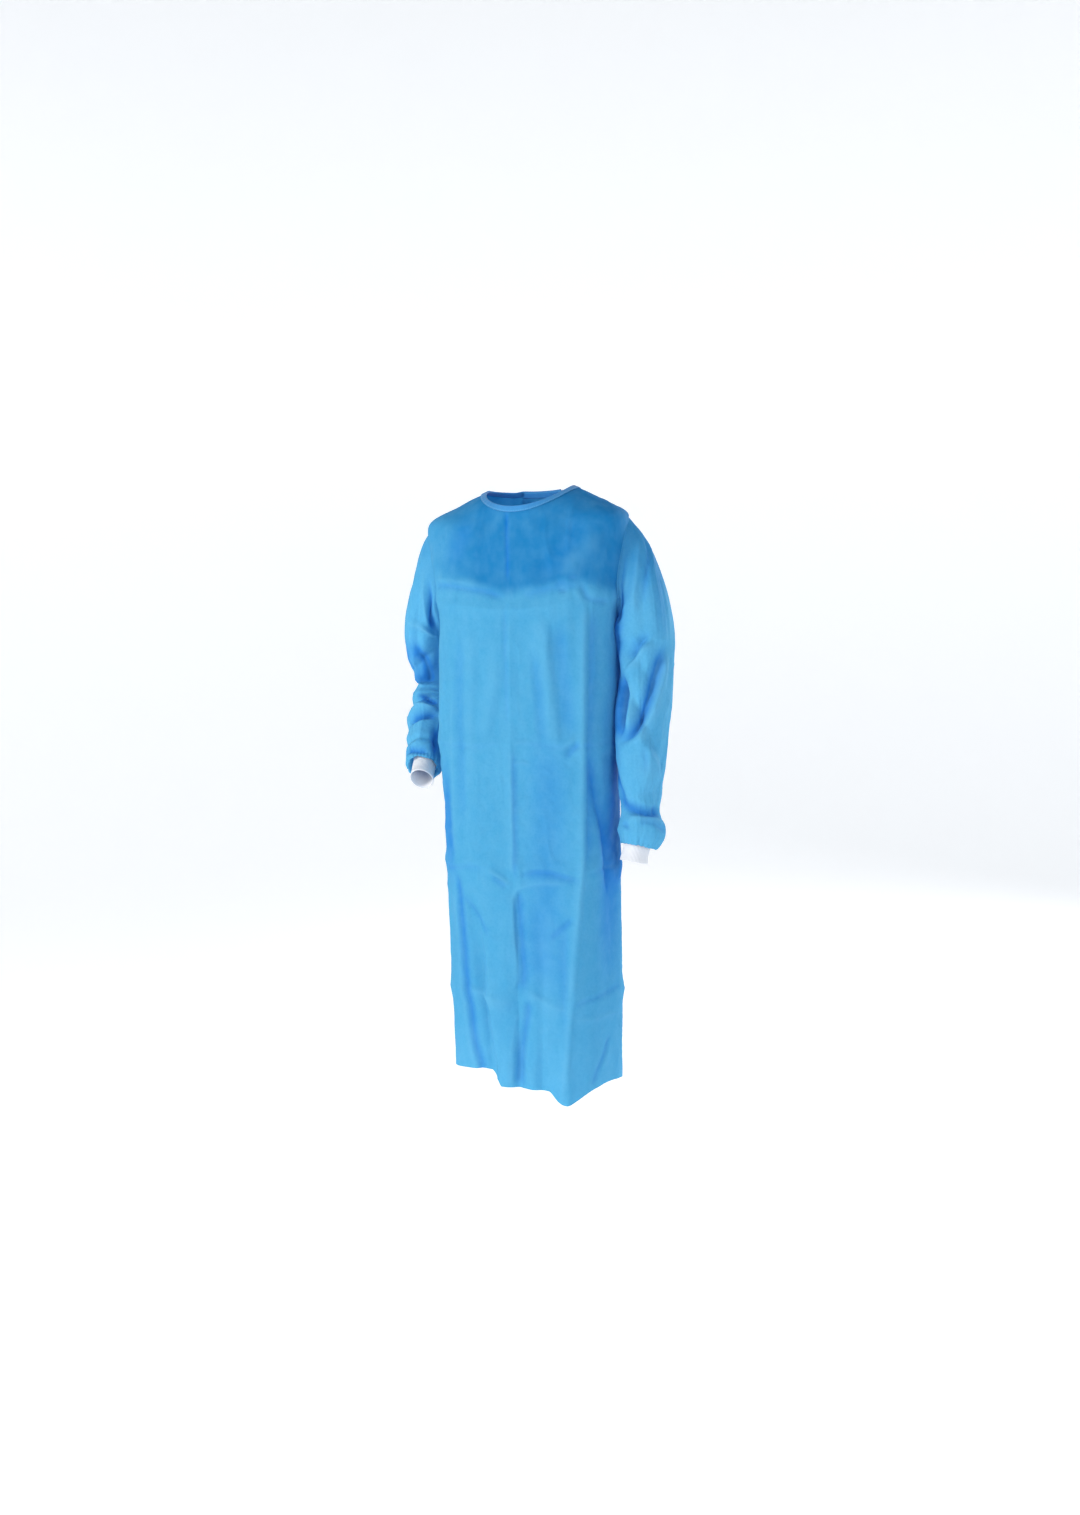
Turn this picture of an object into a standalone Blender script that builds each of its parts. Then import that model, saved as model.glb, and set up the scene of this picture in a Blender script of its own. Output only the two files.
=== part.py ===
"""A disposable isolation gown as it hangs on its wearer: bound round neck, set-in sleeves with knit
cuffs, a back that laps over itself, a neck tab and waist ties knotted in a bow behind.

The frame is in metres with +Z up. The front faces -Y and the wearer's left is +X. The origin is at
the height of the shoulder seams' neck ends, midway between them, where the gown hangs on the wearer.

The body is one smooth form, given by rings from the hem up over the shoulders to the neckline. A
place on it is an angle round the body, in degrees from the wearer's left side towards the back, and
a level, which is the number of the ring counted from the hem. Panels are stretches of that form.
"""

from collections import namedtuple

import bmesh
import bpy
import numpy as np

# Thickness of each cloth, and the gaps between pieces
WALL = 0.0012
KNIT_WALL = 0.0016
TIE_WALL = 0.0010
TAB_WALL = 0.0014
PATCH_WALL = 0.0010
BINDING_WALL = 0.0008
SEAM_GAP = 0.0004
LAY_GAP = 0.0005

# Where the panels meet, in degrees round the body
FRONT = -90.0
BACK = 90.0
SIDE_SEAM = 10.0
BACK_LAP = 32.0
LAP_LIFT = 0.0058
LAP_RAMP = 14.0
LAP_FLARE = 0.010

# Rings of the body, from the hem up
Ring = namedtuple(
    "Ring", "name side_z front_z back_z half_width front back square_front square_back shift"
)
RINGS = (
    Ring("hem", -1.120, -1.114, -1.118, 0.156, 0.118, 0.122, 2.7, 2.2, 0.024),
    Ring("shin crease", -0.944, -0.944, -0.944, 0.160, 0.115, 0.120, 2.8, 2.2, 0.021),
    Ring("knee crease", -0.704, -0.704, -0.704, 0.166, 0.108, 0.116, 2.9, 2.2, 0.010),
    Ring("waist crease", -0.474, -0.474, -0.474, 0.174, 0.101, 0.104, 2.9, 2.3, 0.001),
    Ring("ribs", -0.350, -0.350, -0.350, 0.176, 0.102, 0.108, 2.9, 2.3, 0.000),
    Ring("underarm", -0.250, -0.262, -0.252, 0.174, 0.104, 0.114, 2.9, 2.3, 0.000),
    Ring("chest crease", -0.178, -0.210, -0.186, 0.181, 0.102, 0.114, 2.8, 2.3, 0.000),
    Ring("armhole", -0.105, -0.155, -0.124, 0.190, 0.097, 0.108, 2.6, 2.3, 0.000),
    Ring("shoulder", -0.052, -0.107, -0.074, 0.193, 0.094, 0.096, 2.4, 2.2, 0.000),
    Ring("yoke", -0.027, -0.074, -0.036, 0.142, 0.091, 0.078, 2.2, 2.1, 0.001),
    Ring("neckline", 0.000, -0.041, -0.002, 0.085, 0.088, 0.062, 2.1, 2.1, 0.003),
)
UNDERARM = 5.0
SHOULDER_TIP = 8.0

# The wearer's left shoulder is carried a little higher than the right one
SHOULDER_SLOPE = 0.026

# Armhole edges: how far each one stands off the side seam at its widest, in degrees
ARMHOLE_FRONT = 19.0
ARMHOLE_BACK = 19.0
ARMHOLE_EGG = 0.75
ARMHOLE_ROUND = 0.6
FREE_FRONT = 60.0
FREE_BACK = 40.0

# Folds that run up and down the body. drift is how far a fold has moved round the body when it
# reaches the hem, in degrees. sharp is near 1 for a pressed crease and 2 for a soft fold.
Fold = namedtuple("Fold", "name angle top bottom half_angle out drift sharp")
FOLDS = (
    Fold("left front crease", -33.0, -0.200, -1.12, 17.0, 0.015, -19.0, 1.3),
    Fold("left side trough", -8.0, -0.480, -1.12, 13.0, -0.007, 0.0, 2.0),
    Fold("left front swell", -62.0, -0.700, -1.12, 14.0, -0.005, 0.0, 2.0),
    Fold("centre crease", -90.0, -0.060, -0.70, 9.0, 0.003, 0.0, 1.2),
    Fold("centre trough", -92.0, -0.640, -1.12, 13.0, -0.008, 0.0, 1.6),
    Fold("right front trough", -146.0, -0.720, -1.12, 12.0, -0.013, 25.0, 1.4),
    Fold("right side swell", -172.0, -0.560, -1.12, 13.0, 0.007, 0.0, 2.0),
    Fold("left back trough", 26.0, -0.520, -1.12, 12.0, -0.008, 0.0, 2.0),
    Fold("left back crease", 46.0, -0.350, -1.12, 13.0, 0.010, 0.0, 1.4),
    Fold("lap edge swell", 70.0, -0.560, -1.12, 15.0, 0.008, 0.0, 2.0),
    Fold("right lap trough", 112.0, -0.560, -1.12, 13.0, -0.005, 0.0, 2.0),
    Fold("right back crease", 136.0, -0.350, -1.12, 13.0, 0.010, 0.0, 1.4),
    Fold("right back trough", 158.0, -0.520, -1.12, 12.0, -0.008, 0.0, 2.0),
)
FOLD_ONSET = 0.45
DRIFT_REACH = 50.0
DRIFT_TOP = 3.0

# Pressed creases that run round the body, from the way the gown was packed flat
Crease = namedtuple("Crease", "name height half_height out")
CREASES = (
    Crease("chest crease", -0.205, 0.028, 0.0035),
    Crease("waist crease", -0.474, 0.028, 0.0030),
    Crease("knee crease", -0.704, 0.028, 0.0035),
    Crease("shin crease", -0.944, 0.028, 0.0040),
)

# How far the hem hangs below its ring
Dip = namedtuple("Dip", "name angle half_angle drop")
DIPS = (
    Dip("under the left front crease", -34.0, 18.0, 0.021),
    Dip("at the left side", -4.0, 26.0, -0.011),
    Dip("outside the right front trough", -150.0, 32.0, -0.029),
    Dip("at the right side", -186.0, 36.0, -0.021),
    Dip("behind the left side", 34.0, 28.0, 0.007),
    Dip("under the lap edge", 66.0, 18.0, 0.006),
    Dip("behind the right side", 146.0, 28.0, 0.005),
)

# Sections of the sleeves, square to the arm, from below the armhole to the wrist. half_side is
# measured away from the body and half_depth from front to back.
Section = namedtuple("Section", "name x y z half_side half_depth")
SLEEVES = {
    "left": (
        Section("upper arm", 0.2275, 0.022, -0.290, 0.046, 0.064),
        Section("above elbow", 0.2275, 0.012, -0.350, 0.046, 0.063),
        Section("elbow", 0.2275, 0.002, -0.410, 0.046, 0.061),
        Section("forearm", 0.227, -0.010, -0.480, 0.043, 0.058),
        Section("mid forearm", 0.227, -0.023, -0.545, 0.040, 0.053),
        Section("lower forearm", 0.229, -0.035, -0.594, 0.034, 0.043),
        Section("blouse", 0.2335, -0.044, -0.630, 0.044, 0.047),
        Section("blouse foot", 0.232, -0.048, -0.653, 0.036, 0.041),
        Section("turn", 0.230, -0.049, -0.659, 0.031, 0.035),
        Section("cuff seam", 0.228, -0.047, -0.647, 0.0265, 0.031),
    ),
    "right": (
        Section("upper arm", -0.230, 0.055, -0.280, 0.048, 0.064),
        Section("above elbow", -0.233, 0.078, -0.330, 0.047, 0.063),
        Section("elbow", -0.233, 0.092, -0.380, 0.047, 0.060),
        Section("forearm", -0.230, 0.073, -0.427, 0.045, 0.056),
        Section("mid forearm", -0.227, 0.042, -0.465, 0.043, 0.052),
        Section("lower forearm", -0.221, 0.013, -0.493, 0.038, 0.045),
        Section("blouse", -0.216, -0.008, -0.514, 0.036, 0.043),
        Section("blouse foot", -0.213, -0.022, -0.528, 0.033, 0.038),
        Section("turn", -0.212, -0.0255, -0.5305, 0.028, 0.033),
        Section("cuff seam", -0.212, -0.016, -0.521, 0.0235, 0.028),
    ),
}
SIGN = {"left": 1.0, "right": -1.0}
STRAIGHT_FROM = 7.0
LAST_SECTION = 9.0

# Folds across the sleeves. around is 0 under the arm, 0.25 in front, 0.5 outside and 0.75 behind.
# along counts sections, and is below 0 on the sleeve's cap. slant is how far a fold moves along the
# arm for each turn round it.
Tuck = namedtuple("Tuck", "name around along half_around half_along out slant")
TUCKS = {
    "left": (
        Tuck("cap fold", 0.27, -0.35, 0.06, 0.60, -0.009, 0.0),
        Tuck("cap swell", 0.39, -0.20, 0.09, 0.70, 0.006, 0.0),
        Tuck("upper drag line", 0.22, 0.60, 0.22, 0.55, -0.007, 5.0),
        Tuck("long drag line", 0.27, 2.20, 0.34, 0.62, -0.010, 6.5),
        Tuck("elbow swell", 0.38, 3.40, 0.22, 0.60, 0.005, 5.0),
        Tuck("forearm fold", 0.44, 4.30, 0.20, 0.45, -0.005, -2.5),
        Tuck("blouse fold", 0.32, 5.35, 0.36, 0.35, -0.005, 0.8),
        Tuck("back drag line", 0.75, 2.00, 0.24, 0.60, -0.008, -3.0),
        Tuck("back forearm fold", 0.72, 3.90, 0.22, 0.45, -0.006, 2.0),
    ),
    "right": (
        Tuck("cap fold", 0.27, -0.30, 0.06, 0.60, -0.007, 0.0),
        Tuck("upper drag line", 0.30, 0.70, 0.28, 0.45, -0.008, 4.0),
        Tuck("crook", 0.25, 1.90, 0.32, 0.42, -0.014, -0.8),
        Tuck("crook below", 0.27, 2.85, 0.30, 0.36, -0.010, 0.6),
        Tuck("forearm swell", 0.35, 3.60, 0.40, 0.45, 0.005, 0.0),
        Tuck("forearm fold", 0.45, 4.30, 0.26, 0.36, -0.005, 1.0),
        Tuck("blouse fold", 0.30, 5.30, 0.36, 0.34, -0.005, -0.5),
        Tuck("elbow drag line", 0.70, 1.30, 0.26, 0.50, -0.007, 2.5),
    ),
}

# Knit cuffs
CUFF_LENGTH = 0.046
CUFF_RIBS = 28
RIB_HEIGHT = 0.0006
CUFF_TUCK = 0.0014
CUFF_RISE = 0.004

# Neck binding, neck tab and its patch
BINDING_DEPTH = 0.010
TAB_ON_PANEL = (76.0, 67.0, 58.0)
TAB_BEYOND = (54.0, 48.0, 42.0)
PATCH_ANGLES = (74.0, 66.0, 58.0, 50.0, 42.0, 36.0)
TAB_LEVELS = (8.8, 9.2, 9.55)

# Waist ties and their bow
TIE_HEIGHT = -0.4885
TIE_WIDTH = 0.023
KNOT = (0.013, 0.009, 0.012)
KNOT_ROUND = 0.75
LOOP_START = 0.0138
LOOP_LENGTH = 0.074
LOOP_DROP = 28.0
LOOP_OFF = 0.0092
LOOP_FULL = 0.0035
Tail = namedtuple("Tail", "name angle spread length off knot_off")
TAILS = (
    Tail("tie_tail_left", 87.0, -6.0, 0.23, 0.0034, 0.0044),
    Tail("tie_tail_right", 94.0, 7.0, 0.26, 0.0056, 0.0068),
)

# Grids
COLUMN_STEP = 8.0
BODY_LEVELS = (0, 0.45, 0.88, 1, 1.12, 1.5, 1.88, 2, 2.12, 2.5, 2.88, 3, 3.25, 3.7, 4.35)
YOKE_LEVELS = (8, 8.4, 8.8, 9.2, 9.55, 10)
ARMHOLE_STEPS = 10
CAP_STEPS = (-1, -0.85, -0.65, -0.42, -0.2)
ARM_STEPS = (0, 0.6, 1.2, 1.7, 2.2, 2.7, 3.3, 3.9, 4.5, 5.0, 5.4, 6.0, 6.6, 7.0, 8.0, 9.0)


def spline(values, at):
    """A smooth curve through evenly numbered values, read at places between them."""
    values = np.asarray(values, float)
    at = np.clip(np.asarray(at, float), 0.0, len(values) - 1.0)
    low = np.minimum(at.astype(int), len(values) - 2)
    part = at - low
    start = values[low]
    end = values[low + 1]
    rise = (end - values[np.maximum(low - 1, 0)]) / 2
    leave = (values[np.minimum(low + 2, len(values) - 1)] - start) / 2
    turn = 2 * (start - end) + rise + leave
    bend = 3 * (end - start) - 2 * rise - leave
    return ((turn * part + bend) * part + rise) * part + start


def smooth(share):
    share = np.clip(share, 0.0, 1.0)
    return share * share * (3 - 2 * share)


def hill(distance, half, sharp):
    """A hump one high and two halves wide, a crease for sharp near 1 and a soft fold for 2."""
    inside = np.clip(1 - np.abs(distance) / half, 0.0, 1.0)
    return smooth(inside) if sharp >= 2 else inside**sharp


def apart(angle, other):
    """How far two angles lie apart, the short way round."""
    return (angle - other + 180.0) % 360.0 - 180.0


def ring_value(field, level):
    return spline([getattr(ring, field) for ring in RINGS], level)


def relief(angle, level):
    """How far folds and creases stand out from the smooth body."""
    height = ring_value("side_z", level)
    out = np.zeros(np.broadcast(angle, level).shape)
    for fold in FOLDS:
        run = (fold.top - height) / (fold.top - fold.bottom) / FOLD_ONSET
        ends = smooth(run) * smooth(1 + (height - fold.bottom) / 0.15)
        out = out + fold.out * ends * hill(apart(angle, fold.angle), fold.half_angle, fold.sharp)
    for crease in CREASES:
        out = out + crease.out * hill(height - crease.height, crease.half_height, 1.2)
    return out


def drift(angle, level):
    """How far the cloth has moved round the body, so that creases run aslant, in degrees."""
    low = smooth(1 - level / DRIFT_TOP)
    moved = np.zeros(np.broadcast(angle, level).shape)
    for fold in FOLDS:
        moved = moved + fold.drift * hill(apart(angle, fold.angle), DRIFT_REACH, 2.0)
    return moved * low


def body(angle, level):
    """Points of the gown's outer face at angles and levels."""
    angle, level = np.broadcast_arrays(np.asarray(angle, float), np.asarray(level, float))
    direction = np.radians(angle + drift(angle, level))
    across, deep = np.cos(direction), np.sin(direction)
    ahead = deep < 0
    depth = np.where(ahead, ring_value("front", level), ring_value("back", level))
    square = np.where(ahead, ring_value("square_front", level), ring_value("square_back", level))
    width = ring_value("half_width", level)
    reach = (np.abs(across / width) ** square + np.abs(deep / depth) ** square) ** (-1 / square)
    side_z = ring_value("side_z", level)
    end_z = np.where(ahead, ring_value("front_z", level), ring_value("back_z", level))
    height = side_z + (end_z - side_z) * np.abs(deep) ** 1.5
    for dip in DIPS:
        hanging = smooth(1 - level) * hill(apart(angle, dip.angle), dip.half_angle, 2.0)
        height = height - dip.drop * hanging
    reach = reach + relief(angle, level)
    sideways = reach * across + ring_value("shift", level)
    height = height + SHOULDER_SLOPE * sideways * smooth((level - UNDERARM) / 2)
    return np.stack([sideways, reach * deep, height], axis=-1)


def unit(vectors):
    return vectors / np.linalg.norm(vectors, axis=-1, keepdims=True)


def body_normal(angle, level):
    """Outward directions of the body, the same on both sides of a seam."""
    turn, rise = 0.5, 0.04
    along = body(angle + turn, level) - body(angle - turn, level)
    high = np.minimum(level + rise, len(RINGS) - 1.0)
    low = np.maximum(level - rise, 0.0)
    return unit(np.cross(along, body(angle, high) - body(angle, low)))


def raised(angle, level, out):
    """Points that stand so far off the body's outer face."""
    return body(angle, level) + body_normal(angle, level) * np.asarray(out)[..., None]


def armhole(share, edge):
    """Half the armhole's width in degrees, from the underarm at 0 to the shoulder tip at 1."""
    return edge * np.sin(np.pi * np.clip(share, 0.0, 1.0) ** ARMHOLE_EGG) ** ARMHOLE_ROUND


def armhole_shares():
    """Steps up the armhole, closer together at both ends, where its edge turns."""
    return 0.5 - 0.5 * np.cos(np.linspace(0, np.pi, ARMHOLE_STEPS + 1))


def panel_levels():
    armhole_rows = UNDERARM + (SHOULDER_TIP - UNDERARM) * armhole_shares()[:-1]
    return np.array([*BODY_LEVELS, *armhole_rows, *YOKE_LEVELS], float)


def columns(low, high, stops=()):
    """Angles from low to high about a column step apart, with one at each stop."""
    ends = sorted({low, high, *(stop for stop in stops if low < stop < high)})
    found = [ends[0]]
    for start, end in zip(ends, ends[1:]):
        count = max(1, round((end - start) / COLUMN_STEP))
        found += list(np.linspace(start, end, count + 1)[1:])
    return np.array(found)


def squeezed(offset, free, side, level, edge):
    """Columns past the free angle close up, so that the last one runs along the armhole."""
    width = armhole((level - UNDERARM) / (SHOULDER_TIP - UNDERARM), edge)
    gap = np.degrees(SEAM_GAP / 2 / ring_value("half_width", level))
    share = (np.abs(offset) - free) / (side - free)
    closed = free + share * (side - width - gap - free)
    return np.sign(offset) * np.where(share > 0, closed, np.abs(offset))


def front_angles(levels):
    """The front panel's columns, from the wearer's right side seam to the left one."""
    side = 90.0 + SIDE_SEAM
    creases = [apart(fold.angle, FRONT) for fold in FOLDS if fold.sharp < 2]
    offsets = columns(-side, side, [crease for crease in creases if abs(crease) < FREE_FRONT])
    return FRONT + squeezed(offsets[None, :], FREE_FRONT, side, levels, ARMHOLE_FRONT)


def back_angles(side_name, levels):
    """A back panel's columns, in the order in which angles grow."""
    side = 90.0 - SIDE_SEAM
    creases = [abs(apart(fold.angle, BACK)) for fold in FOLDS if fold.sharp < 2]
    offsets = columns(-BACK_LAP, side, [FREE_BACK, *(c for c in creases if c < side)])
    angles = BACK - SIGN[side_name] * squeezed(offsets[None, :], FREE_BACK, side, levels, ARMHOLE_BACK)
    return angles[:, ::-1] if side_name == "left" else angles


def no_lift(angle, level):
    return np.zeros(np.broadcast(angle, level).shape)


def lap_lift(angle, level):
    """How far the right back panel stands over the left one, which it laps."""
    past = apart(angle, BACK) - BACK_LAP
    flare = LAP_FLARE * smooth(1 - level / 3.5) * smooth(-past / (2 * BACK_LAP))
    return LAP_LIFT * (1 - smooth(past / LAP_RAMP)) + flare


PANELS = {
    "front_panel": (front_angles, no_lift),
    "back_panel_left": (lambda levels: back_angles("left", levels), no_lift),
    "back_panel_right": (lambda levels: back_angles("right", levels), lap_lift),
}


def panel_grid(name, levels):
    """A panel's outer points and the outward directions there."""
    levels = np.asarray(levels, float)[:, None]
    angles_of, lift = PANELS[name]
    angles = angles_of(levels)
    levels = np.broadcast_to(levels, angles.shape)
    return raised(angles, levels, lift(angles, levels)), body_normal(angles, levels)


def material(name, colour, roughness):
    made = bpy.data.materials.new(name)
    made.use_nodes = True
    shader = made.node_tree.nodes["Principled BSDF"]
    shader.inputs["Base Color"].default_value = (*colour, 1.0)
    shader.inputs["Roughness"].default_value = roughness
    shader.inputs["Metallic"].default_value = 0.0
    return made


def add_object(name, mesh, finish):
    """Puts a finished bmesh into the scene as one smooth-shaded object."""
    data = bpy.data.meshes.new(name)
    mesh.to_mesh(data)
    mesh.free()
    data.materials.append(finish)
    data.shade_smooth()
    made = bpy.data.objects.new(name, data)
    bpy.context.scene.collection.objects.link(made)
    return made


def grid_faces(mesh, verts, closed, flip=False):
    """Joins rows of vertices with four-sided faces. A closed grid goes right round its columns."""
    count = len(verts[0])
    for low, high in zip(verts, verts[1:]):
        for c in range(count if closed else count - 1):
            d = (c + 1) % count
            corners = (low[c], low[d], high[d], high[c])
            mesh.faces.new(corners[::-1] if flip else corners)


def cloth(name, outer, inner, finish, closed=False):
    """A closed wall of cloth between an outer and an inner grid of points."""
    mesh = bmesh.new()
    shell = [[mesh.verts.new(point) for point in row] for row in outer]
    lining = [[mesh.verts.new(point) for point in row] for row in inner]
    grid_faces(mesh, shell, closed)
    grid_faces(mesh, lining, closed, flip=True)
    grid_faces(mesh, [lining[0], shell[0]], closed)
    grid_faces(mesh, [shell[-1], lining[-1]], closed)
    if not closed:
        grid_faces(mesh, [[row[0] for row in shell], [row[0] for row in lining]], False)
        grid_faces(mesh, [[row[-1] for row in lining], [row[-1] for row in shell]], False)
    return add_object(name, mesh, finish)


def bar(name, sections, finish):
    """A closed body swept through sections of points and capped at both ends."""
    mesh = bmesh.new()
    verts = [[mesh.verts.new(point) for point in section] for section in sections]
    grid_faces(mesh, verts, True)
    mesh.faces.new(verts[0][::-1])
    mesh.faces.new(verts[-1])
    return add_object(name, mesh, finish)


def make_panels(finish):
    for name in PANELS:
        outer, facing = panel_grid(name, panel_levels())
        cloth(name, outer, outer - WALL * facing, finish)


def armhole_loop(side_name, around):
    """The seam line round the armhole, up its front edge to the shoulder and down its back."""
    share = 0.5 - 0.5 * np.cos(2 * np.pi * around)
    width = np.where(around < 0.5, -armhole(share, ARMHOLE_FRONT), armhole(share, ARMHOLE_BACK))
    angle = SIDE_SEAM + width
    angle = angle if side_name == "left" else 180.0 - angle
    loop = body(angle, UNDERARM + (SHOULDER_TIP - UNDERARM) * share)
    inward = loop.mean(axis=0) - loop
    inward[:, 0] = 0.0
    return loop + unit(inward) * SEAM_GAP * 1.5


def arm_frame(side_name, along):
    """Centres of the sleeve's sections, ways across, to the front and down the arm, and halves."""

    def read(field, at):
        return spline([getattr(section, field) for section in SLEEVES[side_name]], at)

    step = 0.05
    places = np.minimum(along, STRAIGHT_FROM - step)
    centre, ahead, behind = (
        np.stack([read(field, at) for field in "xyz"], axis=-1)
        for at in (along, places + step, np.maximum(places - step, 0.0))
    )
    down = unit(ahead - behind)
    across = np.zeros_like(down)
    across[:, 0] = SIGN[side_name]
    across = unit(across - (across * down).sum(-1, keepdims=True) * down)
    front = np.cross(down, across) * SIGN[side_name]
    return centre, across, front, down, read("half_side", along), read("half_depth", along)


def tuck_relief(side_name, around, along):
    """How far the folds across a sleeve stand out from its smooth tube."""
    out = np.zeros(np.broadcast(around, along).shape)
    for tuck in TUCKS[side_name]:
        turn = (around - tuck.around + 0.5) % 1.0 - 0.5
        place = along - tuck.along - tuck.slant * turn
        out = out + tuck.out * hill(turn, tuck.half_around, 2.0) * hill(place, tuck.half_along, 1.8)
    return out


def ring_points(frame, around, share_out):
    """Points round an oval in a frame of the arm, moved out by so much."""
    centre, across, front, down, half_side, half_depth = frame
    turn = 2 * np.pi * around[None, :]
    sideways = -np.cos(turn) * (half_side[:, None] + share_out)
    forward = np.sin(turn) * (half_depth[:, None] + share_out)
    return centre[:, None] + sideways[..., None] * across[:, None] + forward[..., None] * front[:, None]


def cap_rows(side_name, around, along):
    """Rows from the armhole (-1) to the first section (0), each column leaving the seam outwards."""
    seam = armhole_loop(side_name, around)[None]
    frame = arm_frame(side_name, np.zeros(1))
    first = ring_points(frame, around, 0.0)
    high = (0.5 - 0.5 * np.cos(2 * np.pi * around))[None, :, None]
    reach = np.linalg.norm(first - seam, axis=-1, keepdims=True)
    outward = np.array([SIGN[side_name], 0.0, 0.0])
    down = np.array([0.0, 0.0, -1.0])
    leave = unit(outward * (0.9 - 0.25 * high) + down * (0.5 + 0.5 * high)) * reach * 1.1
    land = frame[3][:, None] * reach * 0.9
    part = (np.asarray(along) + 1.0)[:, None, None]
    square, cube = part**2, part**3
    return (
        seam * (2 * cube - 3 * square + 1)
        + leave * (cube - 2 * square + part)
        + first * (3 * square - 2 * cube)
        + land * (cube - square)
    )


def tube_normal(grid, side_name):
    """Outward directions of a tube whose rows run down the arm and whose columns go round it."""
    wide = np.concatenate([grid[:, -1:], grid, grid[:, :1]], axis=1)
    return unit(np.cross(np.gradient(grid, axis=0), wide[:, 2:] - wide[:, :-2])) * SIGN[side_name]


def sleeve_grid(side_name, around, along):
    """A sleeve's outer points, rows down the arm and columns round it."""
    along = np.asarray(along, float)
    arm = arm_frame(side_name, along[along >= 0])
    rows = np.concatenate(
        [cap_rows(side_name, around, along[along < 0]), ring_points(arm, around, 0.0)]
    )
    fading = smooth((along[:, None] + 1.0) / 0.5)
    swell = tuck_relief(side_name, around[None, :], along[:, None]) * fading
    return rows + tube_normal(rows, side_name) * swell[..., None]


def outward_order(grid, side_name):
    """Columns in the order that makes faces point outwards on either side of the body."""
    return grid[:, ::-1] if side_name == "left" else grid


def make_sleeves(finish):
    around = np.arange(2 * ARMHOLE_STEPS) / (2 * ARMHOLE_STEPS)
    for side_name in SLEEVES:
        outer = sleeve_grid(side_name, around, [*CAP_STEPS, *ARM_STEPS])
        inner = outer - WALL * tube_normal(outer, side_name)
        shell, lining = (outward_order(grid, side_name) for grid in (outer, inner))
        cloth(f"sleeve_{side_name}", shell, lining, finish, closed=True)


def make_cuffs(finish):
    """Knit cuffs: ribs stand up outside over a plain inside."""
    around = np.arange(2 * CUFF_RIBS) / (2 * CUFF_RIBS)
    ribs = RIB_HEIGHT * (np.arange(2 * CUFF_RIBS) % 2)
    shares = np.array([0.0, 0.4, 0.8, 1.0])
    for side_name in SLEEVES:
        centre, across, front, down, half_side, half_depth = arm_frame(
            side_name, np.full(len(shares), LAST_SECTION)
        )
        centre = centre + down * (CUFF_LENGTH * shares - CUFF_RISE)[:, None]
        frame = (centre, across, front, down, half_side - CUFF_TUCK, half_depth - CUFF_TUCK)
        waisted = -0.0012 * np.sin(np.pi * shares)[:, None]
        outer = ring_points(frame, around, waisted + ribs)
        inner = ring_points(frame, around, waisted - KNIT_WALL)
        shell, lining = (outward_order(grid, side_name) for grid in (outer, inner))
        cloth(f"cuff_{side_name}", shell, lining, finish, closed=True)


def make_binding(finish):
    """A strip folded over the neckline, from one back edge round the front to the other."""
    edges, below, facing = [], [], []
    for name, kept in (
        ("back_panel_right", slice(None, -1)),
        ("front_panel", slice(None)),
        ("back_panel_left", slice(1, None)),
    ):
        points, normals = panel_grid(name, YOKE_LEVELS[-2:])
        middle = points - normals * WALL / 2
        edges.append(middle[1, kept])
        below.append(middle[0, kept])
        facing.append(normals[1, kept])
    edge, under, out = (np.concatenate(part) for part in (edges, below, facing))
    down = unit(under - edge)
    out = unit(out - (out * down).sum(-1, keepdims=True) * down)
    clear = WALL / 2 + LAY_GAP
    full = clear + BINDING_WALL
    section = (
        (BINDING_DEPTH, full),
        (0.0, full),
        (-0.7 * full, 0.6 * full),
        (-0.7 * full, -0.6 * full),
        (0.0, -full),
        (BINDING_DEPTH, -full),
        (BINDING_DEPTH, -clear),
        (0.0, -clear),
        (-0.5 * clear, 0.0),
        (0.0, clear),
        (BINDING_DEPTH, clear),
    )
    sections = [[e + d * s + n * o for s, o in section[::-1]] for e, d, n in zip(edge, down, out)]
    bar("neck_binding", sections, finish)


def lay_on(name, angles, levels, out, wall, finish):
    """A flat piece that lies on the body, its outer face moved out by so much."""
    angles, levels = np.meshgrid(np.asarray(angles, float), np.asarray(levels, float))
    points = raised(angles, levels, np.broadcast_to(out, angles.shape))
    cloth(name, points, points - body_normal(angles, levels) * wall, finish)


def make_neck_closure(finish):
    """A loop patch on the left back panel, and a hook tab on the right one that reaches over it."""
    patch_out = LAY_GAP + PATCH_WALL
    lay_on("tab_patch", np.sort(PATCH_ANGLES), TAB_LEVELS, patch_out, PATCH_WALL, finish)
    angles = np.sort([*TAB_BEYOND, *TAB_ON_PANEL])
    over_panel = LAP_LIFT + LAY_GAP + TAB_WALL
    over_patch = patch_out + LAY_GAP + TAB_WALL
    out = np.where(angles < min(TAB_ON_PANEL), over_patch, over_panel)
    lay_on("neck_tab", angles, TAB_LEVELS, out, TAB_WALL, finish)


def level_at(height):
    """The level at which the body's side has this height."""
    levels = np.linspace(0, UNDERARM, 501)
    return np.interp(height, ring_value("side_z", levels), levels)


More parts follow.
